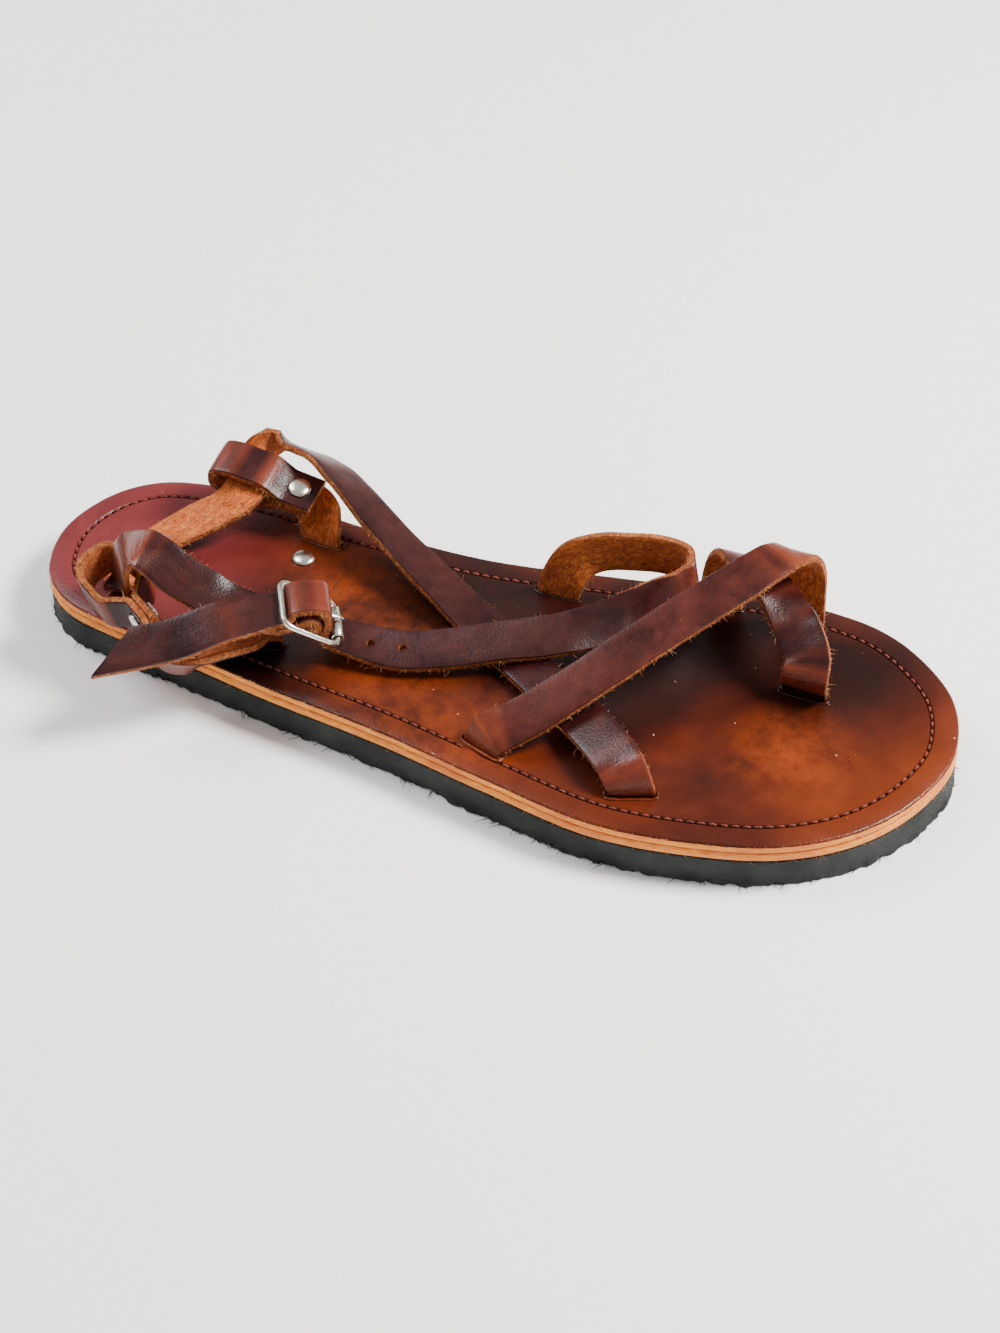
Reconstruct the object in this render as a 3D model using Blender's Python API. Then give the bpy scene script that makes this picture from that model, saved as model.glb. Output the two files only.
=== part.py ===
"""Right-foot leather strap sandal.

A rubber outsole, a leather midsole and a leather footbed lie on each other. Strips of strap
leather come up through slots in the footbed, cross over the foot and meet in a centre-bar
roller buckle. Two riveted loops at the heel guide the ankle strap.

Metres. +X runs from heel to toe, +Y to the inner side of the foot and +Z up. The origin is on
the floor under the middle of the sole's length.
"""

import math
from collections import namedtuple

import bmesh
import bpy
from mathutils import Matrix, Vector

# Sole
LENGTH = 0.300
BALL_WIDTH = 0.112
OUTSOLE_THICKNESS = 0.0100
MIDSOLE_THICKNESS = 0.0029
INSOLE_THICKNESS = 0.0030

# Straps
STRAP_WIDTH = 0.0142
STRAP_THICKNESS = 0.0026
STRAP_RISE = 0.0300
TAIL_CUT = 0.0075
HOLE_DIAMETER = 0.0028
LOOP_LENGTH = 0.0285
INNER_LOOP_OPENING = 0.0078
OUTER_LOOP_OPENING = 0.0135
LOOP_OVERLAP = 0.0062

# Buckle
BUCKLE_LENGTH = 0.0216
BUCKLE_WIDTH = 0.0220
BUCKLE_WIRE = 0.0020
BUCKLE_CORNER = 0.0035
CENTRE_BAR_SHARE = 0.94
ROLLER_DIAMETER = 0.0040
PRONG_WIDTH = 0.0018
PRONG_DEPTH = 0.0014

# Rivets
RIVET_HEAD_DIAMETER = 0.0075
RIVET_HEAD_HEIGHT = 0.0014
RIVET_SHANK_DIAMETER = 0.0030

# Fits
GAP = 0.0003

# Mesh fineness
OUTLINE_STEPS = 4
STRAP_PATH_STEPS = 24
STRAP_MAX_TURN = math.radians(13)
STRAP_MAX_RUN = 0.0065
STRAP_MIN_STEP = 0.0001
STRAP_LONGEST_STEP = 0.0080
WIRE_SIDES = 10
CORNER_STEPS = 4
ROUND_SIDES = 20

OUTSOLE_TOP = OUTSOLE_THICKNESS
MIDSOLE_BOTTOM = OUTSOLE_TOP + GAP
MIDSOLE_TOP = MIDSOLE_BOTTOM + MIDSOLE_THICKNESS
INSOLE_BOTTOM = MIDSOLE_TOP + GAP
FOOTBED = INSOLE_BOTTOM + INSOLE_THICKNESS
LAYER_PITCH = STRAP_THICKNESS + GAP

# The last's outline: along is a share of the length from the heel, inner and outer are the
# edges' distances from the middle line as shares of the ball width.
Station = namedtuple("Station", "along inner outer")
HEEL_POINT = (0.000, 0.005)
OUTLINE = (
    Station(0.020, 0.190, -0.180),
    Station(0.060, 0.298, -0.272),
    Station(0.120, 0.346, -0.312),
    Station(0.200, 0.357, -0.335),
    Station(0.320, 0.334, -0.385),
    Station(0.450, 0.338, -0.425),
    Station(0.580, 0.400, -0.485),
    Station(0.700, 0.467, -0.530),
    Station(0.800, 0.495, -0.495),
    Station(0.880, 0.468, -0.425),
    Station(0.940, 0.375, -0.310),
    Station(0.980, 0.255, -0.155),
)
TOE_POINT = (1.000, 0.055)

# Slots of the footbed: along and across are shares of length and ball width, turn is the
# slot's angle to the middle line in degrees and grain the side that the strap's grain faces.
Slot = namedtuple("Slot", "along across turn grain")
SLOTS = {
    "toe_front": Slot(0.833, 0.142, 0, -1),
    "toe_rear": Slot(0.707, 0.410, 0, 1),
    "cross_inner": Slot(0.797, 0.402, 4, 1),
    "cross_outer": Slot(0.561, -0.377, -19, -1),
    "instep_inner": Slot(0.543, 0.277, 0, 1),
    "ankle_outer": Slot(0.723, -0.394, 22, -1),
    "heel_inner": Slot(0.272, 0.230, -4, 1),
    "heel_outer": Slot(0.287, -0.232, 15, -1),
}

# A strap's folds: along and across as in the outline, up is a share of the strap rise above the
# footbed, and grain is the direction that the smooth side faces.
Fold = namedtuple("Fold", "along across up grain")


def clear_scene():
    for item in list(bpy.data.objects):
        bpy.data.objects.remove(item, do_unlink=True)


def material(name, colour, roughness, metallic=0.0):
    made = bpy.data.materials.new(name)
    made.use_nodes = True
    shader = made.node_tree.nodes["Principled BSDF"]
    shader.inputs["Base Color"].default_value = (*colour, 1.0)
    shader.inputs["Roughness"].default_value = roughness
    shader.inputs["Metallic"].default_value = metallic
    return made


def add_object(name, mesh_builder, finish, smooth_angle=None):
    """Turns a bmesh into a named object with one material."""
    mesh = bpy.data.meshes.new(name)
    bmesh.ops.recalc_face_normals(mesh_builder, faces=mesh_builder.faces)
    mesh_builder.to_mesh(mesh)
    mesh_builder.free()
    mesh.materials.append(finish)
    if smooth_angle is not None:
        mesh.shade_smooth()
        mesh.set_sharp_from_angle(angle=smooth_angle)
    made = bpy.data.objects.new(name, mesh)
    bpy.context.collection.objects.link(made)
    return made


def spline(points, steps, closed=False):
    """A smooth curve through the points: centripetal Catmull-Rom, as (place, value) pairs."""
    count = len(points)
    spans = count if closed else count - 1
    curve = []
    for span in range(spans):
        if closed:
            p0, p1, p2, p3 = (points[(span + shift) % count] for shift in (-1, 0, 1, 2))
        else:
            p1, p2 = points[span], points[span + 1]
            p0 = points[span - 1] if span else p1 + (p1 - p2)
            p3 = points[span + 2] if span + 2 < count else p2 + (p2 - p1)
        t1 = math.sqrt((p1 - p0).length)
        t2 = t1 + math.sqrt((p2 - p1).length)
        t3 = t2 + math.sqrt((p3 - p2).length)
        for step in range(steps):
            t = t1 + (t2 - t1) * step / steps
            a1 = p0.lerp(p1, t / t1)
            a2 = p1.lerp(p2, (t - t1) / (t2 - t1))
            a3 = p2.lerp(p3, (t - t2) / (t3 - t2))
            b1 = a1.lerp(a2, t / t2)
            b2 = a2.lerp(a3, (t - t1) / (t3 - t1))
            curve.append(b1.lerp(b2, (t - t1) / (t2 - t1)))
    if not closed:
        curve.append(points[-1].copy())
    return curve


def on_sole(along, across, height):
    """A world place from shares of the length and the ball width and a height."""
    return Vector(((along - 0.5) * LENGTH, across * BALL_WIDTH, height))


def sole_outline():
    inner = [on_sole(s.along, s.inner, 0) for s in OUTLINE]
    outer = [on_sole(s.along, s.outer, 0) for s in OUTLINE]
    ring = [on_sole(*HEEL_POINT, 0)] + outer + [on_sole(*TOE_POINT, 0)] + inner[::-1]
    return spline(ring, OUTLINE_STEPS, closed=True)


def sole_layer(name, bottom, thickness, finish):
    """A flat sheet cut to the last's outline."""
    build = bmesh.new()
    ring = [build.verts.new((p.x, p.y, bottom)) for p in sole_outline()]
    face = build.faces.new(ring)
    grown = bmesh.ops.extrude_face_region(build, geom=[face])
    raised = [v for v in grown["geom"] if isinstance(v, bmesh.types.BMVert)]
    bmesh.ops.translate(build, verts=raised, vec=(0, 0, thickness))
    return add_object(name, build, finish)


def cutter(name, build):
    finish = bpy.data.materials.get("cutter") or material("cutter", (1, 0, 0), 0.5)
    made = add_object(name, build, finish)
    made.hide_render = True
    made.display_type = "WIRE"
    return made


def cut(target, tool):
    change = target.modifiers.new(tool.name, "BOOLEAN")
    change.operation = "DIFFERENCE"
    change.object = tool
    change.solver = "EXACT"


def box_bmesh(size, place):
    """A box of the given size, its centre set by a matrix."""
    build = bmesh.new()
    bmesh.ops.create_cube(build, size=1.0)
    bmesh.ops.scale(build, vec=size, verts=build.verts)
    bmesh.ops.transform(build, matrix=place, verts=build.verts)
    return build


def frame_matrix(origin, x_axis, y_axis, z_axis):
    """A matrix that puts local axes on the given world directions."""
    turned = Matrix((x_axis, y_axis, z_axis)).transposed().to_4x4()
    turned.translation = origin
    return turned


def slot_place(name):
    slot = SLOTS[name]
    return on_sole(slot.along, slot.across, FOOTBED)


def slot_grain(name):
    slot = SLOTS[name]
    turn = math.radians(slot.turn)
    return Vector((-math.sin(turn), math.cos(turn), 0)) * slot.grain


def slot_cutter(name):
    clear = 3 * GAP
    size = (STRAP_WIDTH + clear, STRAP_THICKNESS + clear, 4 * INSOLE_THICKNESS)
    place = Matrix.Translation(slot_place(name)) @ Matrix.Rotation(math.radians(SLOTS[name].turn), 4, "Z")
    return cutter("slot_" + name, box_bmesh(size, place))


def fold_place(fold):
    return on_sole(fold.along, fold.across, FOOTBED + fold.up * STRAP_RISE)


def at_fold(fold):
    """World place and grain direction of a row of a strap table."""
    return fold_place(fold), Vector(fold.grain).normalized()


def slot_end(name):
    """The two rows of a strap that stands in a slot: its end above the midsole and its mouth."""
    mouth = slot_place(name)
    foot = mouth.copy()
    foot.z = MIDSOLE_TOP + GAP
    return [(foot, slot_grain(name)), (mouth, slot_grain(name))]


STRAP_CORNERS = ((-1, -1), (1, -1), (1, 1), (-1, 1))


def strap_ring(station):
    """The four corners of a strap's section."""
    place, run, face = station
    across = run.cross(face)
    return [
        place + across * side * STRAP_WIDTH / 2 + face * level * STRAP_THICKNESS / 2
        for side, level in STRAP_CORNERS
    ]


def moves_on(last, station):
    """Whether every corner of the section is ahead of the last one, so the strip can't fold over."""
    for old, new in zip(strap_ring(last), strap_ring(station)):
        step = new - old
        if min(step.dot(last[1]), step.dot(station[1])) < STRAP_MIN_STEP:
            return False
    return True


def strap_stations(rows):
    """Places and grain directions along a strap, closer together where it bends."""
    places = spline([row[0] for row in rows], STRAP_PATH_STEPS)
    grains = []
    for first, second in zip(rows, rows[1:]):
        for step in range(STRAP_PATH_STEPS):
            share = step / STRAP_PATH_STEPS
            ease = share * share * (3 - 2 * share)
            grains.append(first[1].slerp(second[1], ease))
    grains.append(rows[-1][1])
    kept = []
    for index, place in enumerate(places):
        before = places[max(index - 1, 0)]
        after = places[min(index + 1, len(places) - 1)]
        run = (after - before).normalized()
        face = (grains[index] - run * grains[index].dot(run)).normalized()
        station = (place, run, face)
        if index == len(places) - 1:
            while len(kept) > 1 and not moves_on(kept[-1], station):
                kept.pop()
        elif kept:
            last = kept[-1]
            turned = max(run.angle(last[1]), face.angle(last[2]))
            reach = (place - last[0]).length
            close = turned < STRAP_MAX_TURN and reach < STRAP_MAX_RUN
            if reach < STRAP_LONGEST_STEP and (close or not moves_on(last, station)):
                continue
        kept.append(station)
    return kept


def strap(name, rows, finish, end_cut=0.0):
    """A strip of leather swept along its rows, with its last end cut at a slant."""
    build = bmesh.new()
    rings = []
    stations = strap_stations(rows)
    while (stations[-1][0] - stations[-2][0]).length < abs(end_cut) * 1.2:
        stations.pop(-2)
    for station in stations:
        slant = station[1] * (end_cut if station is stations[-1] else 0.0)
        corners = zip(strap_ring(station), STRAP_CORNERS)
        rings.append([build.verts.new(corner + slant * side) for corner, (side, _) in corners])
    for first, second in zip(rings, rings[1:]):
        for corner in range(4):
            follow = (corner + 1) % 4
            build.faces.new((first[corner], first[follow], second[follow], second[corner]))
    build.faces.new(rings[0][::-1])
    build.faces.new(rings[-1])
    return add_object(name, build, finish)


# A heel loop lies in its own frame: run points from the rivet to the fold and facing is the
# side of the layer that comes back over the rivet.
Loop = namedtuple("Loop", "rivet run facing opening")
INNER_LOOP = Loop(
    rivet=Fold(0.238, 0.284, 0.41, None),
    run=(-0.98, -0.04, 0.18),
    facing=(0.16, -0.15, 0.97),
    opening=INNER_LOOP_OPENING,
)
OUTER_LOOP = Loop(
    rivet=Fold(0.174, -0.345, 0.335, None),
    run=(-0.86, 0.50, 0.12),
    facing=(0.48, 0.83, 0.28),
    opening=OUTER_LOOP_OPENING,
)

# The loop's half profile: run is a share of the loop length and swell of its half opening. The
# fold rows go on from it: side is the place across the fold, from back to front layer.
LoopRow = namedtuple("LoopRow", "run swell")
LOOP_PROFILE = (
    LoopRow(-0.14, 0.00),
    LoopRow(0.00, 0.00),
    LoopRow(0.14, 0.03),
    LoopRow(0.26, 0.50),
    LoopRow(0.37, 0.96),
    LoopRow(0.58, 1.02),
    LoopRow(0.80, 0.97),
)
LOOP_FOLD_SIDES = (-0.62, 0.0, 0.62)
LOOP_FOLD_DEPTH = 0.25
LOOP_FOLD_TURN = 1.6


def loop_frame(loop):
    run = Vector(loop.run).normalized()
    facing = Vector(loop.facing)
    facing = (facing - run * facing.dot(run)).normalized()
    return fold_place(loop.rivet), run, facing


def at_loop(loop, row):
    """A strap row given in the loop's own frame."""
    place, run, facing = loop_frame(loop)
    side = run.cross(facing)
    middle = place + run * row.run * LOOP_LENGTH
    middle += side * row.side * STRAP_WIDTH + facing * row.away * loop.opening
    along, across, outward = row.grain
    return middle, (run * along + side * across + facing * outward).normalized()


def loop_rows(loop):
    """Rows of a folded loop: out along its back layer, round the fold and over the rivet."""
    place, run, facing = loop_frame(loop)
    closed = LAYER_PITCH / 2
    swell = (loop.opening + STRAP_THICKNESS) / 2 - closed
    out = [(row.run * LOOP_LENGTH, closed + row.swell * swell) for row in LOOP_PROFILE]
    rows = [(place + run * along - facing * away, -facing) for along, away in out]
    for side in LOOP_FOLD_SIDES:
        fold_run = LOOP_LENGTH - abs(side) * swell * LOOP_FOLD_DEPTH
        middle = place + run * fold_run + facing * side * (closed + swell)
        rows.append((middle, (run + facing * side * LOOP_FOLD_TURN).normalized()))
    rows += [(place + run * along + facing * away, facing) for along, away in reversed(out)]
    rows.append((place - run * LOOP_OVERLAP + facing * closed, facing))
    return rows


# The buckle's frame: toward points along the strap to the roller, width to the outer side.
BUCKLE_PLACE = Fold(0.340, -0.205, 0.52, None)
BUCKLE_TOWARD = (0.694, 0.426, -0.583)
BUCKLE_ACROSS = (0.509, -0.863, -0.027)


def buckle_frame_axes():
    toward = Vector(BUCKLE_TOWARD).normalized()
    across = Vector(BUCKLE_ACROSS)
    across = (across - toward * across.dot(toward)).normalized()
    up = across.cross(toward)
    return fold_place(BUCKLE_PLACE), toward, across, up


def at_buckle(toward, up, facing=(0, 1)):
    """A strap row in the buckle's own plane; facing is (toward, up)."""
    origin, toward_axis, _, up_axis = buckle_frame_axes()
    grain = toward_axis * facing[0] + up_axis * facing[1]
    return origin + toward_axis * toward + up_axis * up, grain.normalized()


BAR_OFFSET = (BUCKLE_LENGTH - BUCKLE_WIRE) / 2
BAR_RADIUS = BUCKLE_WIRE / 2
WRAP_RADIUS = BAR_RADIUS + GAP + STRAP_THICKNESS / 2
UNDER_ROLLER = ROLLER_DIAMETER / 2 + GAP + STRAP_THICKNESS / 2
UNDER_BAR = BAR_RADIUS + GAP + STRAP_THICKNESS / 2

# A strap's way round a wire of the buckle, as angles in degrees from the toward direction. BEND
# is how much wider than its tightest fit the leather goes round.
BEND = 1.06
ROLLER_TURNS = (-60, -90, -125, -160)
BAR_TURNS = (42, 0, -32, -58)
FOLD_TURNS = (115, 60, 5, -50, -105)

# A strap's way between the buckle's wires: toward is a share of the bar offset, up of the wrap
# radius, and facing is the grain's (toward, up) direction.
Pass = namedtuple("Pass", "toward up facing")
INSTEP_ARCH = (
    Pass(0.41, 1.62, (0.85, 0.50)),
    Pass(0.06, 2.85, (0.0, 1.0)),
)
ANKLE_UNDER = (
    Pass(-0.69, -2.04, (-0.50, 0.85)),
    Pass(-0.42, -0.35, (-0.75, 0.65)),
)

# The slits that the prong stands in, as shares of the wrap radius in the buckle's plane.
Slit = namedtuple("Slit", "behind ahead below above")
FOLD_SLIT = Slit(-1.40, 1.77, -1.77, 1.77)
TIP_SLIT = Slit(0.92, 2.92, 0.08, 2.23)

TOE_STRAP = (
    Fold(0.834, 0.136, 0.10, (0.0, -1.0, -0.2)),
    Fold(0.835, 0.117, 0.22, (0.0, -0.9, -0.3)),
    Fold(0.836, 0.114, 0.34, (0.0, -1.0, 0.10)),
    Fold(0.834, 0.145, 0.48, (0.0, -0.9, 0.5)),
    Fold(0.820, 0.192, 0.60, (0.10, -0.75, 0.6)),
    Fold(0.801, 0.238, 0.70, (0.35, -0.40, 0.8)),
    Fold(0.777, 0.298, 0.77, (0.40, -0.10, 0.9)),
    Fold(0.742, 0.375, 0.76, (0.10, 0.25, 0.95)),
    Fold(0.717, 0.425, 0.62, (-0.20, 0.85, 0.50)),
    Fold(0.708, 0.428, 0.32, (0.0, 1.0, 0.0)),
)

CROSS_STRAP = (
    Fold(0.797, 0.404, 0.42, (0.0, 1.0, 0.0)),
    Fold(0.796, 0.406, 0.74, (0.0, 1.0, 0.15)),
    Fold(0.791, 0.396, 0.96, (0.0, 0.75, 0.65)),
    Fold(0.781, 0.358, 1.06, (0.0, 0.25, 1.0)),
    Fold(0.770, 0.310, 1.06, (0.0, -0.15, 1.0)),
    Fold(0.749, 0.225, 0.99, (-0.05, -0.40, 0.90)),
    Fold(0.690, 0.018, 0.74, (-0.05, -0.45, 0.90)),
    Fold(0.622, -0.220, 0.40, (-0.05, -0.45, 0.90)),
    Fold(0.588, -0.320, 0.24, (-0.12, -0.60, 0.80)),
    Fold(0.571, -0.356, 0.17, (-0.22, -0.80, 0.55)),
    Fold(0.562, -0.374, 0.09, (-0.33, -0.94, 0.10)),
)

INSTEP_RISE = (
    Fold(0.547, 0.280, 0.20, (0.0, 1.0, 0.0)),
    Fold(0.560, 0.298, 0.45, (-0.15, 1.0, -0.1)),
    Fold(0.583, 0.325, 0.56, (-0.20, 1.0, 0.0)),
    Fold(0.617, 0.350, 0.60, (-0.20, 1.0, 0.0)),
    Fold(0.650, 0.370, 0.60, (-0.05, 1.0, 0.0)),
    Fold(0.673, 0.367, 0.58, (0.55, 0.85, 0.0)),
    Fold(0.686, 0.330, 0.55, (1.0, 0.15, 0.1)),
    Fold(0.682, 0.277, 0.51, (0.80, -0.60, 0.2)),
    Fold(0.660, 0.205, 0.47, (0.30, -0.85, 0.45)),
    Fold(0.623, 0.107, 0.38, (0.0, -0.70, 0.70)),
    Fold(0.577, 0.018, 0.32, (-0.05, -0.45, 0.90)),
    Fold(0.527, -0.045, 0.26, (-0.05, -0.35, 0.93)),
    Fold(0.480, -0.107, 0.20, (-0.05, -0.35, 0.93)),
    Fold(0.433, -0.156, 0.17, (0.05, -0.25, 0.95)),
)

STRAP_TAIL = (
    Fold(0.275, -0.352, 0.66, (0.05, -0.40, 0.90)),
    Fold(0.231, -0.452, 0.55, (0.0, -0.50, 0.87)),
    Fold(0.178, -0.540, 0.48, (0.0, -0.50, 0.87)),
)

ANKLE_FRONT = (
    Fold(0.723, -0.397, 0.10, (0.37, -0.93, 0.1)),
    Fold(0.713, -0.380, 0.22, (0.30, -0.80, 0.5)),
    Fold(0.697, -0.340, 0.27, (0.15, -0.50, 0.85)),
    Fold(0.670, -0.280, 0.25, (0.05, -0.35, 0.9)),
    Fold(0.633, -0.205, 0.20, (0.0, -0.30, 0.95)),
    Fold(0.577, -0.098, 0.12, (0.0, -0.15, 1.0)),
    Fold(0.507, 0.018, 0.10, (0.0, -0.10, 1.0)),
    Fold(0.430, 0.127, 0.22, (0.0, 0.15, 1.0)),
    Fold(0.353, 0.232, 0.40, (-0.05, 0.35, 0.95)),
    Fold(0.285, 0.337, 0.58, (-0.05, 0.50, 0.87)),
    Fold(0.247, 0.386, 0.63, (-0.05, 0.65, 0.76)),
    Fold(0.222, 0.402, 0.62, (-0.10, 0.72, 0.70)),
    Fold(0.203, 0.420, 0.59, (-0.05, 0.80, 0.60)),
)

# The ankle strap's way through the inner loop, in the loop's frame: run is a share of the loop's
# length, side of the strap's width and away of the loop's opening.
Through = namedtuple("Through", "run side away grain")
ANKLE_THROUGH = (
    Through(0.53, 1.21, 0.10, (0.60, 0.75, 0.20)),
    Through(0.61, 0.96, 0.06, (1.00, 0.10, -0.15)),
    Through(0.60, 0.54, 0.03, (0.15, 0.00, -1.0)),
    Through(0.58, 0.00, 0.00, (0.0, 0.0, -1.0)),
    Through(0.57, -0.56, 0.12, (0.0, 0.0, -1.0)),
)

ANKLE_HEEL = (
    Fold(0.171, 0.155, 0.37, (0.0, 0.15, -1.0)),
    Fold(0.147, 0.090, 0.28, (0.0, 0.15, -1.0)),
    Fold(0.126, 0.030, 0.19, (0.0, 0.0, -1.0)),
    Fold(0.112, -0.054, 0.12, (0.0, 0.0, -1.0)),
    Fold(0.109, -0.125, 0.09, (0.0, 0.0, -1.0)),
    Fold(0.116, -0.185, 0.11, (-0.05, -0.05, -1.0)),
    Fold(0.128, -0.232, 0.20, (-0.45, -0.45, -0.75)),
    Fold(0.134, -0.269, 0.42, (-0.68, -0.73, 0.0)),
    Fold(0.1365, -0.278, 0.68, (-0.68, -0.63, 0.20)),
    Fold(0.1415, -0.275, 0.885, (-0.55, -0.50, 0.60)),
    Fold(0.153, -0.257, 0.97, (-0.20, -0.35, 0.93)),
    Fold(0.170, -0.252, 0.93, (0.0, -0.35, 0.93)),
    Fold(0.195, -0.260, 0.80, (0.0, -0.38, 0.9)),
    Fold(0.230, -0.266, 0.67, (0.05, -0.35, 0.9)),
    Fold(0.266, -0.262, 0.55, (0.20, -0.15, 0.95)),
)

HEEL_INNER = (
    Fold(0.271, 0.236, 0.10, (0.0, 1.0, 0.0)),
    Fold(0.2690, 0.255, 0.17, (0.0, 0.90, -0.45)),
    Fold(0.262, 0.278, 0.21, (0.0, 0.40, -0.92)),
)

HEEL_OUTER = (
    Fold(0.287, -0.248, 0.13, (0.25, -0.85, -0.4)),
    Fold(0.280, -0.300, 0.19, (0.20, -0.40, -0.9)),
    Fold(0.260, -0.375, 0.19, (0.25, -0.55, -0.8)),
    Fold(0.236, -0.440, 0.16, (0.15, -0.80, -0.55)),
    Fold(0.210, -0.440, 0.20, (-0.20, -0.92, -0.35)),
)


# The instep strap's free buckle holes, as places on it.
STRAP_HOLES = (
    Fold(0.402, -0.168, 0.15, (0.05, -0.25, 0.95)),
    Fold(0.436, -0.150, 0.14, (0.0, -0.30, 0.93)),
)

# Rivets beside the heel slots, as shares of length and ball width.
FOOTBED_RIVETS = {"medial": (0.267, 0.141), "lateral": (0.285, -0.135)}


def rows_of(table):
    return [at_fold(fold) for fold in table]


def round_wire(centre, reach, turns):
    """Rows that go round a wire of the buckle with the grain away from it."""
    rows = []
    for turn in turns:
        side = (math.cos(math.radians(turn)), math.sin(math.radians(turn)))
        rows.append((centre + side[0] * reach, side[1] * reach, side))
    return rows


def in_buckle(table):
    return [at_buckle(row.toward * BAR_OFFSET, row.up * WRAP_RADIUS, row.facing) for row in table]


def instep_rows():
    """Up from its slot, under the roller, over the prong's bar and under the heel end's wire."""
    rows = slot_end("instep_inner") + rows_of(INSTEP_RISE)
    for toward, up, side in round_wire(BAR_OFFSET, UNDER_ROLLER * BEND, ROLLER_TURNS):
        rows.append(at_buckle(toward, up, (-side[0], -side[1])))
    rows += in_buckle(INSTEP_ARCH)
    for toward, up, side in round_wire(-BAR_OFFSET, UNDER_BAR * BEND, BAR_TURNS):
        rows.append(at_buckle(toward, up, (-side[0], -side[1])))
    return rows + rows_of(STRAP_TAIL)


def ankle_rows():
    """Up from its slot, through the inner loop, round the heel and on to the centre bar."""
    rows = slot_end("ankle_outer") + rows_of(ANKLE_FRONT)
    rows += [at_loop(INNER_LOOP, row) for row in ANKLE_THROUGH]
    rows += rows_of(ANKLE_HEEL) + in_buckle(ANKLE_UNDER)
    rows += [at_buckle(*row) for row in round_wire(0.0, WRAP_RADIUS, FOLD_TURNS)]
    return rows


def wire_sweep(build, path, radius, closed):
    """A round wire along a path of points."""
    rings = []
    count = len(path)
    for index, place in enumerate(path):
        before = path[index - 1] if index or closed else place
        after = path[(index + 1) % count] if index < count - 1 or closed else place
        run = (after - before).normalized()
        side = run.cross(buckle_frame_axes()[3]).normalized()
        lift = side.cross(run)
        ring = []
        for corner in range(WIRE_SIDES):
            turn = 2 * math.pi * corner / WIRE_SIDES
            ring.append(build.verts.new(place + (side * math.cos(turn) + lift * math.sin(turn)) * radius))
        rings.append(ring)
    pairs = list(zip(rings, rings[1:] + rings[:1])) if closed else list(zip(rings, rings[1:]))
    for first, second in pairs:
        for corner in range(WIRE_SIDES):
            follow = (corner + 1) % WIRE_SIDES
            build.faces.new((first[corner], first[follow], second[follow], second[corner]))
    if not closed:
        build.faces.new(rings[0][::-1])
        build.faces.new(rings[-1])


def buckle_frame(finish):
    """The bent wire frame with the bar that the straps' fold and the prong turn on."""
    origin, toward, across, _ = buckle_frame_axes()
    half_long = BAR_OFFSET
    half_wide = (BUCKLE_WIDTH - BUCKLE_WIRE) / 2
    path = []
    for quarter, (sx, sy) in enumerate(((1, 1), (-1, 1), (-1, -1), (1, -1))):
        centre = (sx * (half_long - BUCKLE_CORNER), sy * (half_wide - BUCKLE_CORNER))
        for step in range(CORNER_STEPS + 1):
            turn = math.radians(90 * quarter + 90 * step / CORNER_STEPS)
            along = centre[0] + BUCKLE_CORNER * math.cos(turn)
            wide = centre[1] + BUCKLE_CORNER * math.sin(turn)
            path.append(origin + toward * along + across * wide)
    build = bmesh.new()
    wire_sweep(build, path, BAR_RADIUS, closed=True)
    frame = add_object("buckle_frame", build, finish, math.radians(40))
    build = bmesh.new()
    ends = [origin - across * half_wide, origin + across * half_wide]
    wire_sweep(build, ends, BAR_RADIUS * CENTRE_BAR_SHARE, closed=False)
    bar = cutter("centre_bar", build)
    joined = frame.modifiers.new("centre_bar", "BOOLEAN")
    joined.operation = "UNION"
    joined.object = bar
    joined.solver = "MANIFOLD"
    return frame


def tube(name, start, end, outer, inner, finish):
    """A short tube between two points."""
    build = bmesh.new()
    run = (end - start).normalized()
    side = run.orthogonal().normalized()
    lift = run.cross(side)
    rings = []
    for place, radius in ((start, outer), (end, outer), (end, inner), (start, inner)):
        ring = []
        for corner in range(ROUND_SIDES):
            turn = 2 * math.pi * corner / ROUND_SIDES
            ring.append(build.verts.new(place + (side * math.cos(turn) + lift * math.sin(turn)) * radius))
        rings.append(ring)
    for first, second in zip(rings, rings[1:] + rings[:1]):
        for corner in range(ROUND_SIDES):
            follow = (corner + 1) % ROUND_SIDES
            build.faces.new((first[corner], first[follow], second[follow], second[corner]))
    return add_object(name, build, finish, math.radians(40))


def buckle_roller(finish):
    origin, toward, across, _ = buckle_frame_axes()
    half = BUCKLE_WIDTH / 2 - BUCKLE_WIRE / 2 - BUCKLE_CORNER
    middle = origin + toward * BAR_OFFSET
    radius = ROLLER_DIAMETER / 2
    start, end = middle - across * half, middle + across * half
    return tube("buckle_roller", start, end, radius, BAR_RADIUS + GAP, finish)


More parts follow.
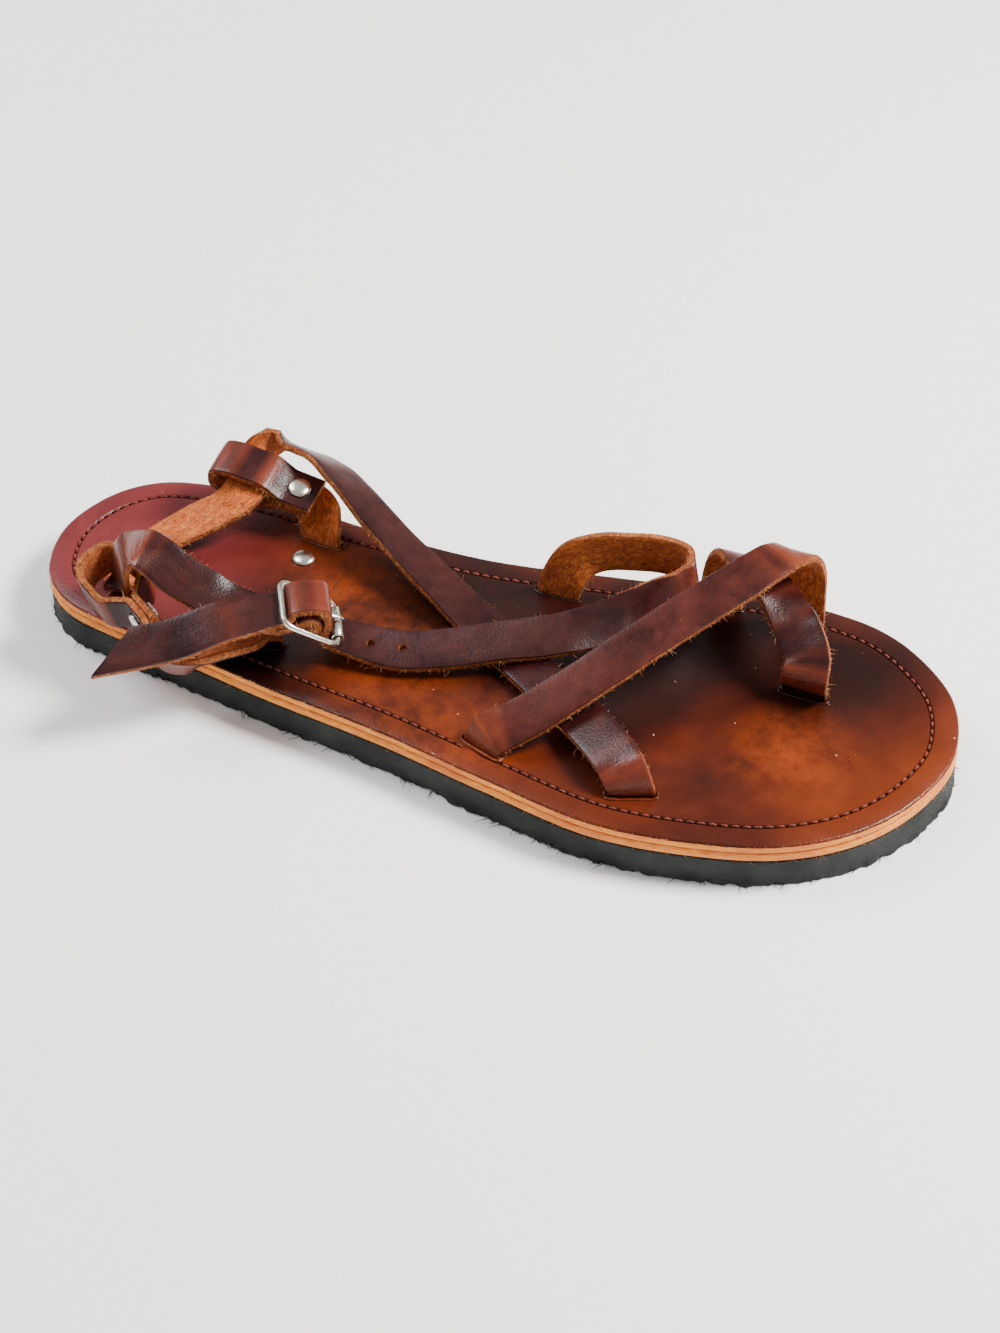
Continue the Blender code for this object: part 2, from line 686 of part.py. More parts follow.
def buckle_prong(finish):
    """A flat hook round the centre bar whose tip lies on the roller."""
    origin, toward, across, up = buckle_frame_axes()
    inside = BAR_RADIUS + GAP
    outside = inside + PRONG_DEPTH
    hook = [math.radians(62 + 32 * step) for step in range(9)]
    profile_out = [(math.cos(turn) * outside, math.sin(turn) * outside) for turn in hook]
    profile_in = [(math.cos(turn) * inside, math.sin(turn) * inside) for turn in hook]
    over_roller = ROLLER_DIAMETER / 2 + GAP
    shank_top = [
        (BAR_OFFSET * 0.50, outside * 1.10),
        (BAR_OFFSET * 0.90, over_roller + PRONG_DEPTH * 1.15),
    ]
    tip = [
        (BAR_OFFSET * 1.06, over_roller + PRONG_DEPTH * 1.05),
        (BAR_OFFSET * 1.12, over_roller + PRONG_DEPTH * 0.30),
    ]
    shank_low = [(BAR_OFFSET * 0.90, over_roller + PRONG_DEPTH * 0.05), (BAR_OFFSET * 0.45, inside)]
    outline = profile_out[::-1] + shank_top + tip + shank_low + profile_in
    build = bmesh.new()
    near_side = origin - across * PRONG_WIDTH / 2
    face = build.faces.new([build.verts.new(near_side + toward * a + up * b) for a, b in outline])
    grown = bmesh.ops.extrude_face_region(build, geom=[face])
    raised = [v for v in grown["geom"] if isinstance(v, bmesh.types.BMVert)]
    bmesh.ops.translate(build, verts=raised, vec=across * PRONG_WIDTH)
    return add_object("buckle_prong", build, finish)


# A rivet head's half profile: radius is a share of the head's radius, height of its height.
HeadRow = namedtuple("HeadRow", "radius height")
HEAD_DOME = (HeadRow(0.0, 1.0), HeadRow(0.55, 0.88), HeadRow(0.88, 0.50), HeadRow(1.0, 0.0))


def rivet(name, place, axis, reach_down, heads, finish):
    """A turned rivet: a domed head, a shank and, where heads is 2, a second head."""
    head = RIVET_HEAD_DIAMETER / 2
    shank = RIVET_SHANK_DIAMETER / 2
    dome = [(row.radius * head, row.height * RIVET_HEAD_HEIGHT) for row in HEAD_DOME]
    profile = dome + [(shank, 0.0), (shank, -reach_down)]
    if heads == 2:
        profile += [(radius, -reach_down - height) for radius, height in reversed(dome)]
    else:
        profile.append((0.0, -reach_down))
    build = bmesh.new()
    side = axis.orthogonal().normalized()
    lift = axis.cross(side)
    rings = []
    for radius, height in profile:
        centre = place + axis * height
        if radius == 0.0:
            rings.append([build.verts.new(centre)])
            continue
        ring = []
        for corner in range(ROUND_SIDES):
            turn = 2 * math.pi * corner / ROUND_SIDES
            ring.append(build.verts.new(centre + (side * math.cos(turn) + lift * math.sin(turn)) * radius))
        rings.append(ring)
    for first, second in zip(rings, rings[1:]):
        for corner in range(ROUND_SIDES):
            follow = (corner + 1) % ROUND_SIDES
            if len(first) == 1:
                build.faces.new((first[0], second[corner], second[follow]))
            elif len(second) == 1:
                build.faces.new((first[corner], first[follow], second[0]))
            else:
                build.faces.new((first[corner], first[follow], second[follow], second[corner]))
    return add_object(name, build, finish, math.radians(40))


def pin_cutter(name, place, axis, radius, reach):
    build = bmesh.new()
    turned = axis.to_track_quat("Z", "Y").to_matrix().to_4x4()
    turned.translation = place
    bmesh.ops.create_cone(
        build, cap_ends=True, segments=ROUND_SIDES, radius1=radius, radius2=radius, depth=reach, matrix=turned
    )
    return cutter(name, build)


def prong_slot(name, slit):
    """A cutter for a slit that the prong passes through, in the buckle's own frame."""
    origin, toward, across, up = buckle_frame_axes()
    behind, ahead, below, above = (share * WRAP_RADIUS for share in slit)
    middle = origin + toward * (behind + ahead) / 2 + up * (below + above) / 2
    size = (ahead - behind, PRONG_WIDTH + 2 * GAP, above - below)
    return cutter(name, box_bmesh(size, frame_matrix(middle, toward, across, up)))


def main():
    clear_scene()
    rubber = material("rubber", (0.035, 0.040, 0.038), 0.85)
    raw_edge = material("raw_leather", (0.72, 0.36, 0.13), 0.75)
    footbed = material("footbed_leather", (0.16, 0.035, 0.012), 0.35)
    leather = material("strap_leather", (0.10, 0.022, 0.016), 0.40)
    nickel = material("nickel", (0.72, 0.70, 0.62), 0.25, 1.0)

    sole_layer("outsole", 0.0, OUTSOLE_THICKNESS, rubber)
    sole_layer("midsole", MIDSOLE_BOTTOM, MIDSOLE_THICKNESS, raw_edge)
    insole = sole_layer("insole", INSOLE_BOTTOM, INSOLE_THICKNESS, footbed)
    for name in SLOTS:
        cut(insole, slot_cutter(name))

    toe_rows = slot_end("toe_front") + rows_of(TOE_STRAP) + slot_end("toe_rear")[::-1]
    cross_rows = slot_end("cross_inner") + rows_of(CROSS_STRAP) + slot_end("cross_outer")[::-1]
    inner_rows = slot_end("heel_inner") + rows_of(HEEL_INNER) + loop_rows(INNER_LOOP)
    outer_rows = slot_end("heel_outer") + rows_of(HEEL_OUTER) + loop_rows(OUTER_LOOP)
    strap("toe_strap", toe_rows, leather)
    strap("cross_strap", cross_rows, leather)
    instep = strap("instep_strap", instep_rows(), leather, -TAIL_CUT)
    ankle = strap("ankle_strap", ankle_rows(), leather)
    inner = strap("heel_upright_medial", inner_rows, leather)
    outer = strap("heel_upright_lateral", outer_rows, leather)

    buckle_frame(nickel)
    buckle_roller(nickel)
    buckle_prong(nickel)
    cut(ankle, prong_slot("fold_slot", FOLD_SLIT))
    for number, fold in enumerate(STRAP_HOLES):
        place, grain = at_fold(fold)
        name = "strap_hole_%d" % number
        cut(instep, pin_cutter(name, place, grain, HOLE_DIAMETER / 2, 4 * STRAP_THICKNESS))
    cut(instep, prong_slot("hole_slot", TIP_SLIT))

    hole = RIVET_SHANK_DIAMETER / 2 + GAP
    upright = Vector((0, 0, 1))
    for side, place in FOOTBED_RIVETS.items():
        seat = on_sole(*place, FOOTBED + GAP)
        rivet("footbed_rivet_" + side, seat, upright, FOOTBED - MIDSOLE_TOP, 1, nickel)
        cut(insole, pin_cutter("rivet_hole_" + side, seat, upright, hole, 4 * INSOLE_THICKNESS))
    for side, loop, strip in (("medial", INNER_LOOP, inner), ("lateral", OUTER_LOOP, outer)):
        place, _, facing = loop_frame(loop)
        seat = place + facing * (LAYER_PITCH + STRAP_THICKNESS) / 2 + facing * GAP
        rivet("loop_rivet_" + side, seat, facing, 2 * STRAP_THICKNESS + 3 * GAP, 2, nickel)
        cut(strip, pin_cutter("loop_hole_" + side, place, facing, hole, 4 * STRAP_THICKNESS))


main()
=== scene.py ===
import math
import random
from collections import namedtuple

import bpy
from mathutils import Matrix, Vector, noise


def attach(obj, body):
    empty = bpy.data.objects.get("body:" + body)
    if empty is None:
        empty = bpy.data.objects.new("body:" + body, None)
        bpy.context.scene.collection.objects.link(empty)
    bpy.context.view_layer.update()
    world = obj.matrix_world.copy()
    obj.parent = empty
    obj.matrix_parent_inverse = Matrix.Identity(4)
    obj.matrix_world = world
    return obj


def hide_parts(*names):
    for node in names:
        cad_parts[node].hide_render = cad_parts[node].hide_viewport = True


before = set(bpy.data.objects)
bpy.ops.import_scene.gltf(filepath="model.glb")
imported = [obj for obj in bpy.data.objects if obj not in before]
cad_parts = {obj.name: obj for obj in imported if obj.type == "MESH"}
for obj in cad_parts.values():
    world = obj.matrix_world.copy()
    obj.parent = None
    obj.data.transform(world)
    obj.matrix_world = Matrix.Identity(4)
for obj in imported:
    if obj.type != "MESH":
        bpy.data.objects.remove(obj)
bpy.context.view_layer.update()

# The room: a pale studio floor, a large soft light over the toe end and a weaker one over the
# heel. The camera looks down on the outer side of the shoe from in front of the waist.
for item in list(bpy.context.selected_objects):
    item.select_set(False)

bpy.ops.mesh.primitive_plane_add(size=6.0)
floor = bpy.context.active_object
floor.name = "floor"
floor_paint = bpy.data.materials.new("floor_paint")
floor_paint.use_nodes = True
paint = floor_paint.node_tree.nodes["Principled BSDF"].inputs
paint["Base Color"].default_value = (0.96, 0.96, 0.96, 1)
paint["Roughness"].default_value = 0.7
floor.data.materials.append(floor_paint)

world = bpy.data.worlds.new("studio")
world.use_nodes = True
daylight = world.node_tree.nodes["Background"].inputs
daylight["Color"].default_value = (1.0, 0.98, 0.96, 1)
daylight["Strength"].default_value = 0.58
bpy.context.scene.world = world


def soft_light(name, place, aim, size, power, colour):
    bpy.ops.object.light_add(type="AREA", location=place)
    lamp = bpy.context.active_object
    lamp.name = name
    lamp.data.shape = "DISK"
    lamp.data.size = size
    lamp.data.energy = power
    lamp.data.color = colour
    lamp.rotation_euler = (Vector(aim) - Vector(place)).to_track_quat("-Z", "Y").to_euler()


soft_light("toe_light", (0.75, 0.35, 0.95), (0.02, 0, 0.02), 0.42, 42.0, (1.0, 0.97, 0.92))
soft_light("heel_light", (-0.75, 0.10, 0.85), (-0.05, 0, 0.02), 0.60, 10.0, (0.95, 0.97, 1.0))

CAMERA_PLACE = Vector((0.27626, -0.59786, 0.61415))
CAMERA_TURN = math.radians(24.801)
CAMERA_TILT = math.radians(43.0)
CAMERA_ROLL = math.radians(-1.819)
CAMERA_LENS = 77.0
CAMERA_SHIFT = 0.012
ahead = Vector((
    -math.sin(CAMERA_TURN) * math.cos(CAMERA_TILT),
    math.cos(CAMERA_TURN) * math.cos(CAMERA_TILT),
    -math.sin(CAMERA_TILT),
))
level = Vector((math.cos(CAMERA_TURN), math.sin(CAMERA_TURN), 0))
upward = level.cross(ahead)
right = level * math.cos(CAMERA_ROLL) + upward * math.sin(CAMERA_ROLL)
top = upward * math.cos(CAMERA_ROLL) - level * math.sin(CAMERA_ROLL)
bpy.ops.object.camera_add(location=CAMERA_PLACE)
camera = bpy.context.active_object
turned = Matrix((right, top, -ahead)).transposed().to_4x4()
turned.translation = CAMERA_PLACE
camera.matrix_world = turned
camera.data.lens = CAMERA_LENS
camera.data.shift_x = CAMERA_SHIFT
camera.data.shift_y = CAMERA_SHIFT
camera.data.clip_start = 0.01
bpy.context.scene.camera = camera


# The outsole: a sheet of black crepe rubber, cut round with a knife. Its lower edge is ragged
# and has loose crumbs and threads, its face has a fine pebbled crumb.
LENGTH = 0.300
BALL_WIDTH = 0.112
OUTSOLE_TOP = 0.0100
RIM_POINTS = 420
SOLE_CREASE = 40


def tint(red, green, blue):
    """A colour as a picture shows it, turned into light values."""
    parts = [c / 255 for c in (red, green, blue)]
    return tuple(c / 12.92 if c <= 0.04045 else ((c + 0.055) / 1.055) ** 2.4 for c in parts) + (1.0,)


def finish_base(name, roughness, specular=0.5):
    """A new material with its node tree and its shader."""
    made = bpy.data.materials.new(name)
    made.use_nodes = True
    tree = made.node_tree
    shader = tree.nodes["Principled BSDF"]
    shader.inputs["Roughness"].default_value = roughness
    shader.inputs["Specular IOR Level"].default_value = specular
    return made, tree, shader


def noise_node(tree, place, scale, detail=4.0, rough=0.55, distort=0.0):
    node = tree.nodes.new("ShaderNodeTexNoise")
    node.inputs["Scale"].default_value = scale
    node.inputs["Detail"].default_value = detail
    node.inputs["Roughness"].default_value = rough
    node.inputs["Distortion"].default_value = distort
    tree.links.new(place, node.inputs["Vector"])
    return node.outputs["Fac"]


def ramp_node(tree, value, stops):
    node = tree.nodes.new("ShaderNodeValToRGB")
    ramp = node.color_ramp
    while len(ramp.elements) < len(stops):
        ramp.elements.new(0.5)
    for element, (place, colour) in zip(ramp.elements, stops):
        element.position = place
        element.color = colour
    tree.links.new(value, node.inputs["Fac"])
    return node.outputs["Color"]


def bump_node(tree, shader, height, depth, strength=1.0):
    node = tree.nodes.new("ShaderNodeBump")
    node.inputs["Distance"].default_value = depth
    node.inputs["Strength"].default_value = strength
    tree.links.new(height, node.inputs["Height"])
    tree.links.new(node.outputs["Normal"], shader.inputs["Normal"])


def surface(tree, shader, colour, height, depth, strength=1.0):
    """Gives the shader its colour and a bump from the height pattern."""
    tree.links.new(colour, shader.inputs["Base Color"])
    bump_node(tree, shader, height, depth, strength)


def coordinate(tree, kind="Object", stretch=(1, 1, 1)):
    source = tree.nodes.new("ShaderNodeTexCoord")
    mapping = tree.nodes.new("ShaderNodeMapping")
    mapping.inputs["Scale"].default_value = stretch
    tree.links.new(source.outputs[kind], mapping.inputs["Vector"])
    return mapping.outputs["Vector"]


# The last's outline: along is a share of the length from the heel, inner and outer are the
# edges' distances from the middle line as shares of the ball width.
Station = namedtuple("Station", "along inner outer")
OUTLINE = (
    Station(0.020, 0.190, -0.180),
    Station(0.060, 0.298, -0.272),
    Station(0.120, 0.346, -0.312),
    Station(0.200, 0.357, -0.335),
    Station(0.320, 0.334, -0.385),
    Station(0.450, 0.338, -0.425),
    Station(0.580, 0.400, -0.485),
    Station(0.700, 0.467, -0.530),
    Station(0.800, 0.495, -0.495),
    Station(0.880, 0.468, -0.425),
    Station(0.940, 0.375, -0.310),
    Station(0.980, 0.255, -0.155),
)
HEEL_POINT = (0.000, 0.005)
TOE_POINT = (1.000, 0.055)


def on_sole(along, across, height):
    """A place from shares of the length and the ball width and a height."""
    return Vector(((along - 0.5) * LENGTH, across * BALL_WIDTH, height))


def spline(points, steps, closed=False):
    """A smooth centripetal curve through the points."""
    count = len(points)
    curve = []
    for span in range(count if closed else count - 1):
        if closed:
            p0, p1, p2, p3 = (points[(span + shift) % count] for shift in (-1, 0, 1, 2))
        else:
            p1, p2 = points[span], points[span + 1]
            p0 = points[span - 1] if span else p1 + (p1 - p2)
            p3 = points[span + 2] if span + 2 < count else p2 + (p2 - p1)
        t1 = math.sqrt((p1 - p0).length)
        t2 = t1 + math.sqrt((p2 - p1).length)
        t3 = t2 + math.sqrt((p3 - p2).length)
        for step in range(steps):
            t = t1 + (t2 - t1) * step / steps
            a1 = p0.lerp(p1, t / t1)
            a2 = p1.lerp(p2, (t - t1) / (t2 - t1))
            a3 = p2.lerp(p3, (t - t2) / (t3 - t2))
            b1 = a1.lerp(a2, t / t2)
            b2 = a2.lerp(a3, (t - t1) / (t3 - t1))
            curve.append(b1.lerp(b2, (t - t1) / (t2 - t1)))
    if not closed:
        curve.append(points[-1].copy())
    return curve


def even_points(curve, count):
    """The same closed curve with evenly spaced points."""
    lengths = [0.0]
    ring = curve + curve[:1]
    for first, second in zip(ring, ring[1:]):
        lengths.append(lengths[-1] + (second - first).length)
    points = []
    span = 0
    for index in range(count):
        want = lengths[-1] * index / count
        while lengths[span + 1] < want:
            span += 1
        share = (want - lengths[span]) / (lengths[span + 1] - lengths[span])
        points.append(ring[span].lerp(ring[span + 1], share))
    return points


inner_side = [on_sole(s.along, s.inner, 0) for s in OUTLINE]
outer_side = [on_sole(s.along, s.outer, 0) for s in OUTLINE]
last_ring = [on_sole(*HEEL_POINT, 0)] + outer_side + [on_sole(*TOE_POINT, 0)] + inner_side[::-1]
sole_rim = even_points(spline(last_ring, 40, closed=True), RIM_POINTS)
rim_outward = []
for index, point in enumerate(sole_rim):
    run = (sole_rim[(index + 1) % RIM_POINTS] - sole_rim[index - 1]).normalized()
    rim_outward.append(Vector((run.y, -run.x, 0)))


def only(made):
    """Makes a piece the one that the next operator works on."""
    bpy.ops.object.select_all(action="DESELECT")
    made.select_set(True)
    bpy.context.view_layer.objects.active = made


def mesh_piece(name, points, faces, finishes, kinds=()):
    """A mesh object, with the number of each face's finish in kinds."""
    mesh = bpy.data.meshes.new(name)
    mesh.from_pydata([tuple(point) for point in points], [], faces)
    for finish in finishes:
        mesh.materials.append(finish)
    if kinds:
        mesh.polygons.foreach_set("material_index", kinds)
    made = bpy.data.objects.new(name, mesh)
    bpy.context.collection.objects.link(made)
    return made


def turn_outward(made):
    """Turns all faces of a piece outward."""
    only(made)
    bpy.ops.object.mode_set(mode="EDIT")
    bpy.ops.mesh.select_all(action="SELECT")
    bpy.ops.mesh.normals_make_consistent(inside=False)
    bpy.ops.object.mode_set(mode="OBJECT")


def smooth(made, degrees):
    """Smooths a piece, but leaves edges sharp that bend by more than so many degrees."""
    only(made)
    bpy.ops.object.shade_smooth_by_angle(angle=math.radians(degrees))


# How many waves to the metre the outline's unevenness has, and how much the broad waves count.
FINE_WAVES = 700
BROAD_WAVES = 90
BROAD_SHARE = 0.6


def sole_sheet(name, rings, finishes, finish_of_ring):
    """A sheet lofted from rings of the outline, each (out, height, wobble), and closed."""
    points = []
    faces = []
    kinds = []
    for ring, (out, height, wobble) in enumerate(rings):
        for index, point in enumerate(sole_rim):
            rough = noise.noise(point * FINE_WAVES + Vector((0, 0, ring * 3.1))) * wobble
            rough += noise.noise(point * BROAD_WAVES + Vector((0, 0, 9))) * wobble * BROAD_SHARE
            place = point + rim_outward[index] * (out + rough)
            points.append((place.x, place.y, height))
    for ring in range(len(rings) - 1):
        for index in range(RIM_POINTS):
            follow = (index + 1) % RIM_POINTS
            low, high = ring * RIM_POINTS, (ring + 1) * RIM_POINTS
            faces.append((low + index, low + follow, high + follow, high + index))
            kinds.append(finish_of_ring[ring])
    faces.append(tuple(range(RIM_POINTS))[::-1])
    kinds.append(finish_of_ring[0])
    last = (len(rings) - 1) * RIM_POINTS
    faces.append(tuple(last + index for index in range(RIM_POINTS)))
    kinds.append(finish_of_ring[-1])
    made = mesh_piece(name, points, faces, finishes, kinds)
    turn_outward(made)
    smooth(made, SOLE_CREASE)
    return made


crepe, tree, shader = finish_base("black_crepe", 0.8, 0.3)
place = coordinate(tree)
crumb = noise_node(tree, place, 1100.0, 5.0, 0.7)
cloud = noise_node(tree, place, 70.0, 4.0)
tone = ramp_node(tree, cloud, ((0.3, tint(24, 27, 27)), (0.72, tint(50, 54, 52))))
surface(tree, shader, tone, crumb, 0.0006, 0.9)

crepe_rings = (
    (-0.0006, 0.0, 0.0015),
    (0.0002, 0.0004, 0.0015),
    (0.0, 0.0018, 0.0005),
    (-0.0001, 0.0034, 0.00022),
    (0.0, 0.0052, 0.00022),
    (0.0, 0.0070, 0.00022),
    (0.0, 0.0088, 0.0002),
    (0.0, 0.0097, 0.0002),
    (-0.0003, OUTSOLE_TOP, 0.0001),
)
outsole = sole_sheet("outsole_crepe", crepe_rings, [crepe], [0] * 8)
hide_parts("outsole")
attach(outsole, "root")

# Threads and crumbs of the same rubber, torn loose from the cut lower edge of the crepe. They lie
# on the floor beside it.
STRAND_ROWS = 4
STRAND_TAPER = 0.75
CREPE_THREADS = 320
CREPE_THREAD_RADIUS = 0.00020


def strands(name, roots, sides, thickness, finish):
    """Thin curved fibres, each from (root, direction, length, curl)."""
    points = []
    faces = []
    for root, aim, length, curl in roots:
        side = aim.orthogonal().normalized()
        lift = aim.cross(side)
        start = len(points)
        for row in range(STRAND_ROWS):
            share = row / (STRAND_ROWS - 1)
            middle = root + aim * length * share + curl * length * share * share
            radius = thickness * (1.0 - STRAND_TAPER * share)
            for corner in range(sides):
                turn = math.tau * corner / sides
                points.append(middle + (side * math.cos(turn) + lift * math.sin(turn)) * radius)
        for row in range(STRAND_ROWS - 1):
            for corner in range(sides):
                follow = (corner + 1) % sides
                low, high = start + row * sides, start + (row + 1) * sides
                faces.append((low + corner, low + follow, high + follow, high + corner))
        faces.append(tuple(start + corner for corner in range(sides))[::-1])
        tip = start + (STRAND_ROWS - 1) * sides
        faces.append(tuple(tip + corner for corner in range(sides)))
    made = mesh_piece(name, points, faces, [finish])
    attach(made, "root")


chance = random.Random(7)
threads = []
for _ in range(CREPE_THREADS):
    index = chance.randrange(RIM_POINTS)
    outward = rim_outward[index]
    along = Vector((-outward.y, outward.x, 0))
    aim = (outward * chance.uniform(0.3, 1.0) + along * chance.uniform(-1, 1)).normalized()
    root = sole_rim[index] - outward * 0.0004 + Vector((0, 0, chance.uniform(0.0003, 0.0016)))
    curl = Vector((chance.uniform(-0.6, 0.6), chance.uniform(-0.6, 0.6), 0.0))
    threads.append((root, aim, chance.uniform(0.0008, 0.0036), curl))
strands("crepe_threads", threads, 4, CREPE_THREAD_RADIUS, crepe)

# The midsole: a sheet of tan sole leather under the footbed. Only its raw cut edge shows, a
# fibrous orange band with a fine joint above and below it.
MIDSOLE_LOW = 0.0103
MIDSOLE_HIGH = 0.0132


def grey(share):
    return (share, share, share, 1)


def set_node(node, amounts):
    """Links or sets the node's numbered inputs."""
    for socket, value in amounts:
        if isinstance(value, bpy.types.NodeSocket):
            node.id_data.links.new(value, node.inputs[socket])
        else:
            node.inputs[socket].default_value = value


def mix_node(tree, amount, first, second, kind="MIX"):
    node = tree.nodes.new("ShaderNodeMix")
    node.data_type = "RGBA"
    node.blend_type = kind
    set_node(node, ((0, amount), (6, first), (7, second)))
    return node.outputs[2]


raw_edge, tree, shader = finish_base("raw_cut_edge", 0.72, 0.3)
place = coordinate(tree, stretch=(1, 1, 5))
layers = noise_node(tree, place, 260.0, 6.0, 0.65)
patches = noise_node(tree, coordinate(tree), 55.0, 3.0)
band = ramp_node(
    tree, layers, ((0.25, tint(186, 92, 24)), (0.5, tint(236, 142, 50)), (0.8, tint(250, 182, 94)))
)
stained = ramp_node(tree, patches, ((0.45, grey(0)), (0.75, grey(0.75))))
band = mix_node(tree, stained, band, tint(196, 96, 52))
surface(tree, shader, band, layers, 0.0006, 0.9)

midsole_rings = (
    (-0.0003, MIDSOLE_LOW, 0.0),
    (0.0, MIDSOLE_LOW + 0.0004, 0.00015),
    (0.0002, MIDSOLE_LOW + 0.0012, 0.0002),
    (0.0001, MIDSOLE_HIGH - 0.0008, 0.0002),
    (-0.0001, MIDSOLE_HIGH - 0.0002, 0.00015),
    (-0.0003, MIDSOLE_HIGH, 0.0),
)
midsole = sole_sheet("midsole_edge", midsole_rings, [raw_edge], [0] * 5)
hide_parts("midsole")
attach(midsole, "root")

# The footbed: waxed leather, burgundy at the heel and warm brown to orange where it is worn and where a
# painted highlight lies, with a raw edge, a stitching groove all round and slots punched for the straps.
FOOTBED_LOW = 0.0135
FOOTBED = 0.0165
GROOVE_IN = 0.0080
GROOVE_DEPTH = 0.00045


def mask_node(tree, value, low, high):
    """0 where the value is below low and 1 where it is above high."""
    return ramp_node(tree, value, ((low, grey(0)), (high, grey(1))))


def range_node(tree, value, low, high, start=0.0, end=1.0):
    """The value moved from the range start to end into the range low to high."""
    node = tree.nodes.new("ShaderNodeMapRange")
    for name, limit in (("From Min", start), ("From Max", end), ("To Min", low), ("To Max", high)):
        node.inputs[name].default_value = limit
    tree.links.new(value, node.inputs["Value"])
    return node.outputs[0]


def pore_node(tree, place, scale):
    node = tree.nodes.new("ShaderNodeTexVoronoi")
    node.inputs["Scale"].default_value = scale
    tree.links.new(place, node.inputs["Vector"])
    return node.outputs["Distance"]


def sum_node(tree, kind, first, second):
    node = tree.nodes.new("ShaderNodeMath")
    node.operation = kind
    set_node(node, ((0, first), (1, second)))
    return node.outputs[0]


def times(tree, first, second):
    return sum_node(tree, "MULTIPLY", first, second)


def weighted(tree, *parts):
    """The sum of values times their weights."""
    total = times(tree, *parts[0])
    for part in parts[1:]:
        total = sum_node(tree, "ADD", total, times(tree, *part))
    return total


footbed_leather, tree, shader = finish_base("waxed_footbed", 0.36, 0.26)
place = coordinate(tree)
broad = noise_node(tree, place, 11.0, 4.0, 0.52, 0.3)
middle = noise_node(tree, place, 42.0, 5.0, 0.6, 0.3)
fine = noise_node(tree, place, 620.0, 4.0, 0.6)
pores = pore_node(tree, place, 1250.0)
WAX_TONES = (
    (0.34, tint(26, 7, 5)),
    (0.46, tint(48, 13, 6)),
    (0.57, tint(84, 28, 8)),
    (0.72, tint(130, 54, 14)),
)
waxed = ramp_node(tree, broad, WAX_TONES)
blotch = ramp_node(tree, middle, ((0.35, (0.66, 0.64, 0.62, 1)), (0.65, grey(1.12))))
waxed = mix_node(tree, 0.6, waxed, blotch, "MULTIPLY")


def soft_spot(tree, spot, reach, wobble):
    """A round mask with a soft uneven edge, 1 in its middle."""
    source = tree.nodes.new("ShaderNodeTexCoord")
    away = tree.nodes.new("ShaderNodeVectorMath")
    away.operation = "DISTANCE"
    tree.links.new(source.outputs["Object"], away.inputs[0])
    away.inputs[1].default_value = spot
    uneven = times(tree, wobble, reach * 0.9)
    distance = sum_node(tree, "ADD", away.outputs["Value"], uneven)
    share = sum_node(tree, "DIVIDE", distance, reach * 1.9)
    return ramp_node(tree, share, ((0.15, grey(1)), (0.95, grey(0))))


# The orange of the worn spots: partly bare leather where the wax is worn off, partly painted highlight.
worn_and_highlight_tone = mix_node(tree, 0.60, waxed, tint(146, 60, 14))
burgundy = mix_node(tree, middle, tint(66, 18, 22), tint(126, 46, 46))

# The spots where the foot has worn off the wax, each with its reach. Their orange is partly that
# wear and partly a painted highlight on the waxed footbed.
WORN_AND_HIGHLIGHT_SPOTS = (
    ((-0.052, 0.006, FOOTBED), 0.020),
    ((-0.024, -0.022, FOOTBED), 0.026),
    ((0.012, -0.040, FOOTBED), 0.020),
    ((0.104, -0.012, FOOTBED), 0.020),
)
waxed = mix_node(tree, 1.0, waxed, (0.58, 0.52, 0.52, 1), "MULTIPLY")
rubbed_and_highlight_noise = noise_node(tree, place, 95.0, 6.0, 0.70, 0.15)
patchy = ramp_node(tree, rubbed_and_highlight_noise, ((0.38, grey(0.22)), (0.60, grey(1))))
for spot, reach in WORN_AND_HIGHLIGHT_SPOTS:
    worn_and_highlight_share = times(tree, soft_spot(tree, spot, reach, middle), patchy)
    waxed = mix_node(tree, worn_and_highlight_share, waxed, worn_and_highlight_tone)
lengthwise = tree.nodes.new("ShaderNodeSeparateXYZ")
tree.links.new(place, lengthwise.inputs[0])
heelward = times(tree, sum_node(tree, "ADD", lengthwise.outputs["X"], times(tree, middle, 0.03)), -1.0)
heel_mask = mask_node(tree, heelward, 0.055, 0.090)
waxed = mix_node(tree, heel_mask, waxed, burgundy)
specks = mask_node(tree, noise_node(tree, place, 430.0, 2.0, 0.5), 0.755, 0.775)
waxed = mix_node(tree, times(tree, specks, 0.5), waxed, tint(216, 180, 150))
tree.links.new(range_node(tree, middle, 0.20, 0.44), shader.inputs["Roughness"])
surface(tree, shader, waxed, weighted(tree, (pores, 0.5), (fine, 1.0), (middle, 1.6)), 0.00030, 0.32)

footbed_rings = (
    (-0.0003, FOOTBED_LOW, 0.0),
    (0.0, FOOTBED_LOW + 0.0004, 0.00015),
    (0.0001, FOOTBED - 0.0012, 0.0002),
    (0.0, FOOTBED - 0.0007, 0.00015),
    (-0.0003, FOOTBED - 0.0002, 0.0001),
    (-0.0008, FOOTBED, 0.0),
    (-GROOVE_IN + 0.0008, FOOTBED, 0.0),
    (-GROOVE_IN + 0.0004, FOOTBED - GROOVE_DEPTH, 0.0),
    (-GROOVE_IN - 0.0004, FOOTBED - GROOVE_DEPTH, 0.0),
    (-GROOVE_IN - 0.0008, FOOTBED, 0.0),
)
footbed = sole_sheet("footbed", footbed_rings, [footbed_leather, raw_edge], [1] * 3 + [0] * 6)
for face in footbed.data.polygons:
    if face.normal.z < -0.9:
        face.material_index = 1

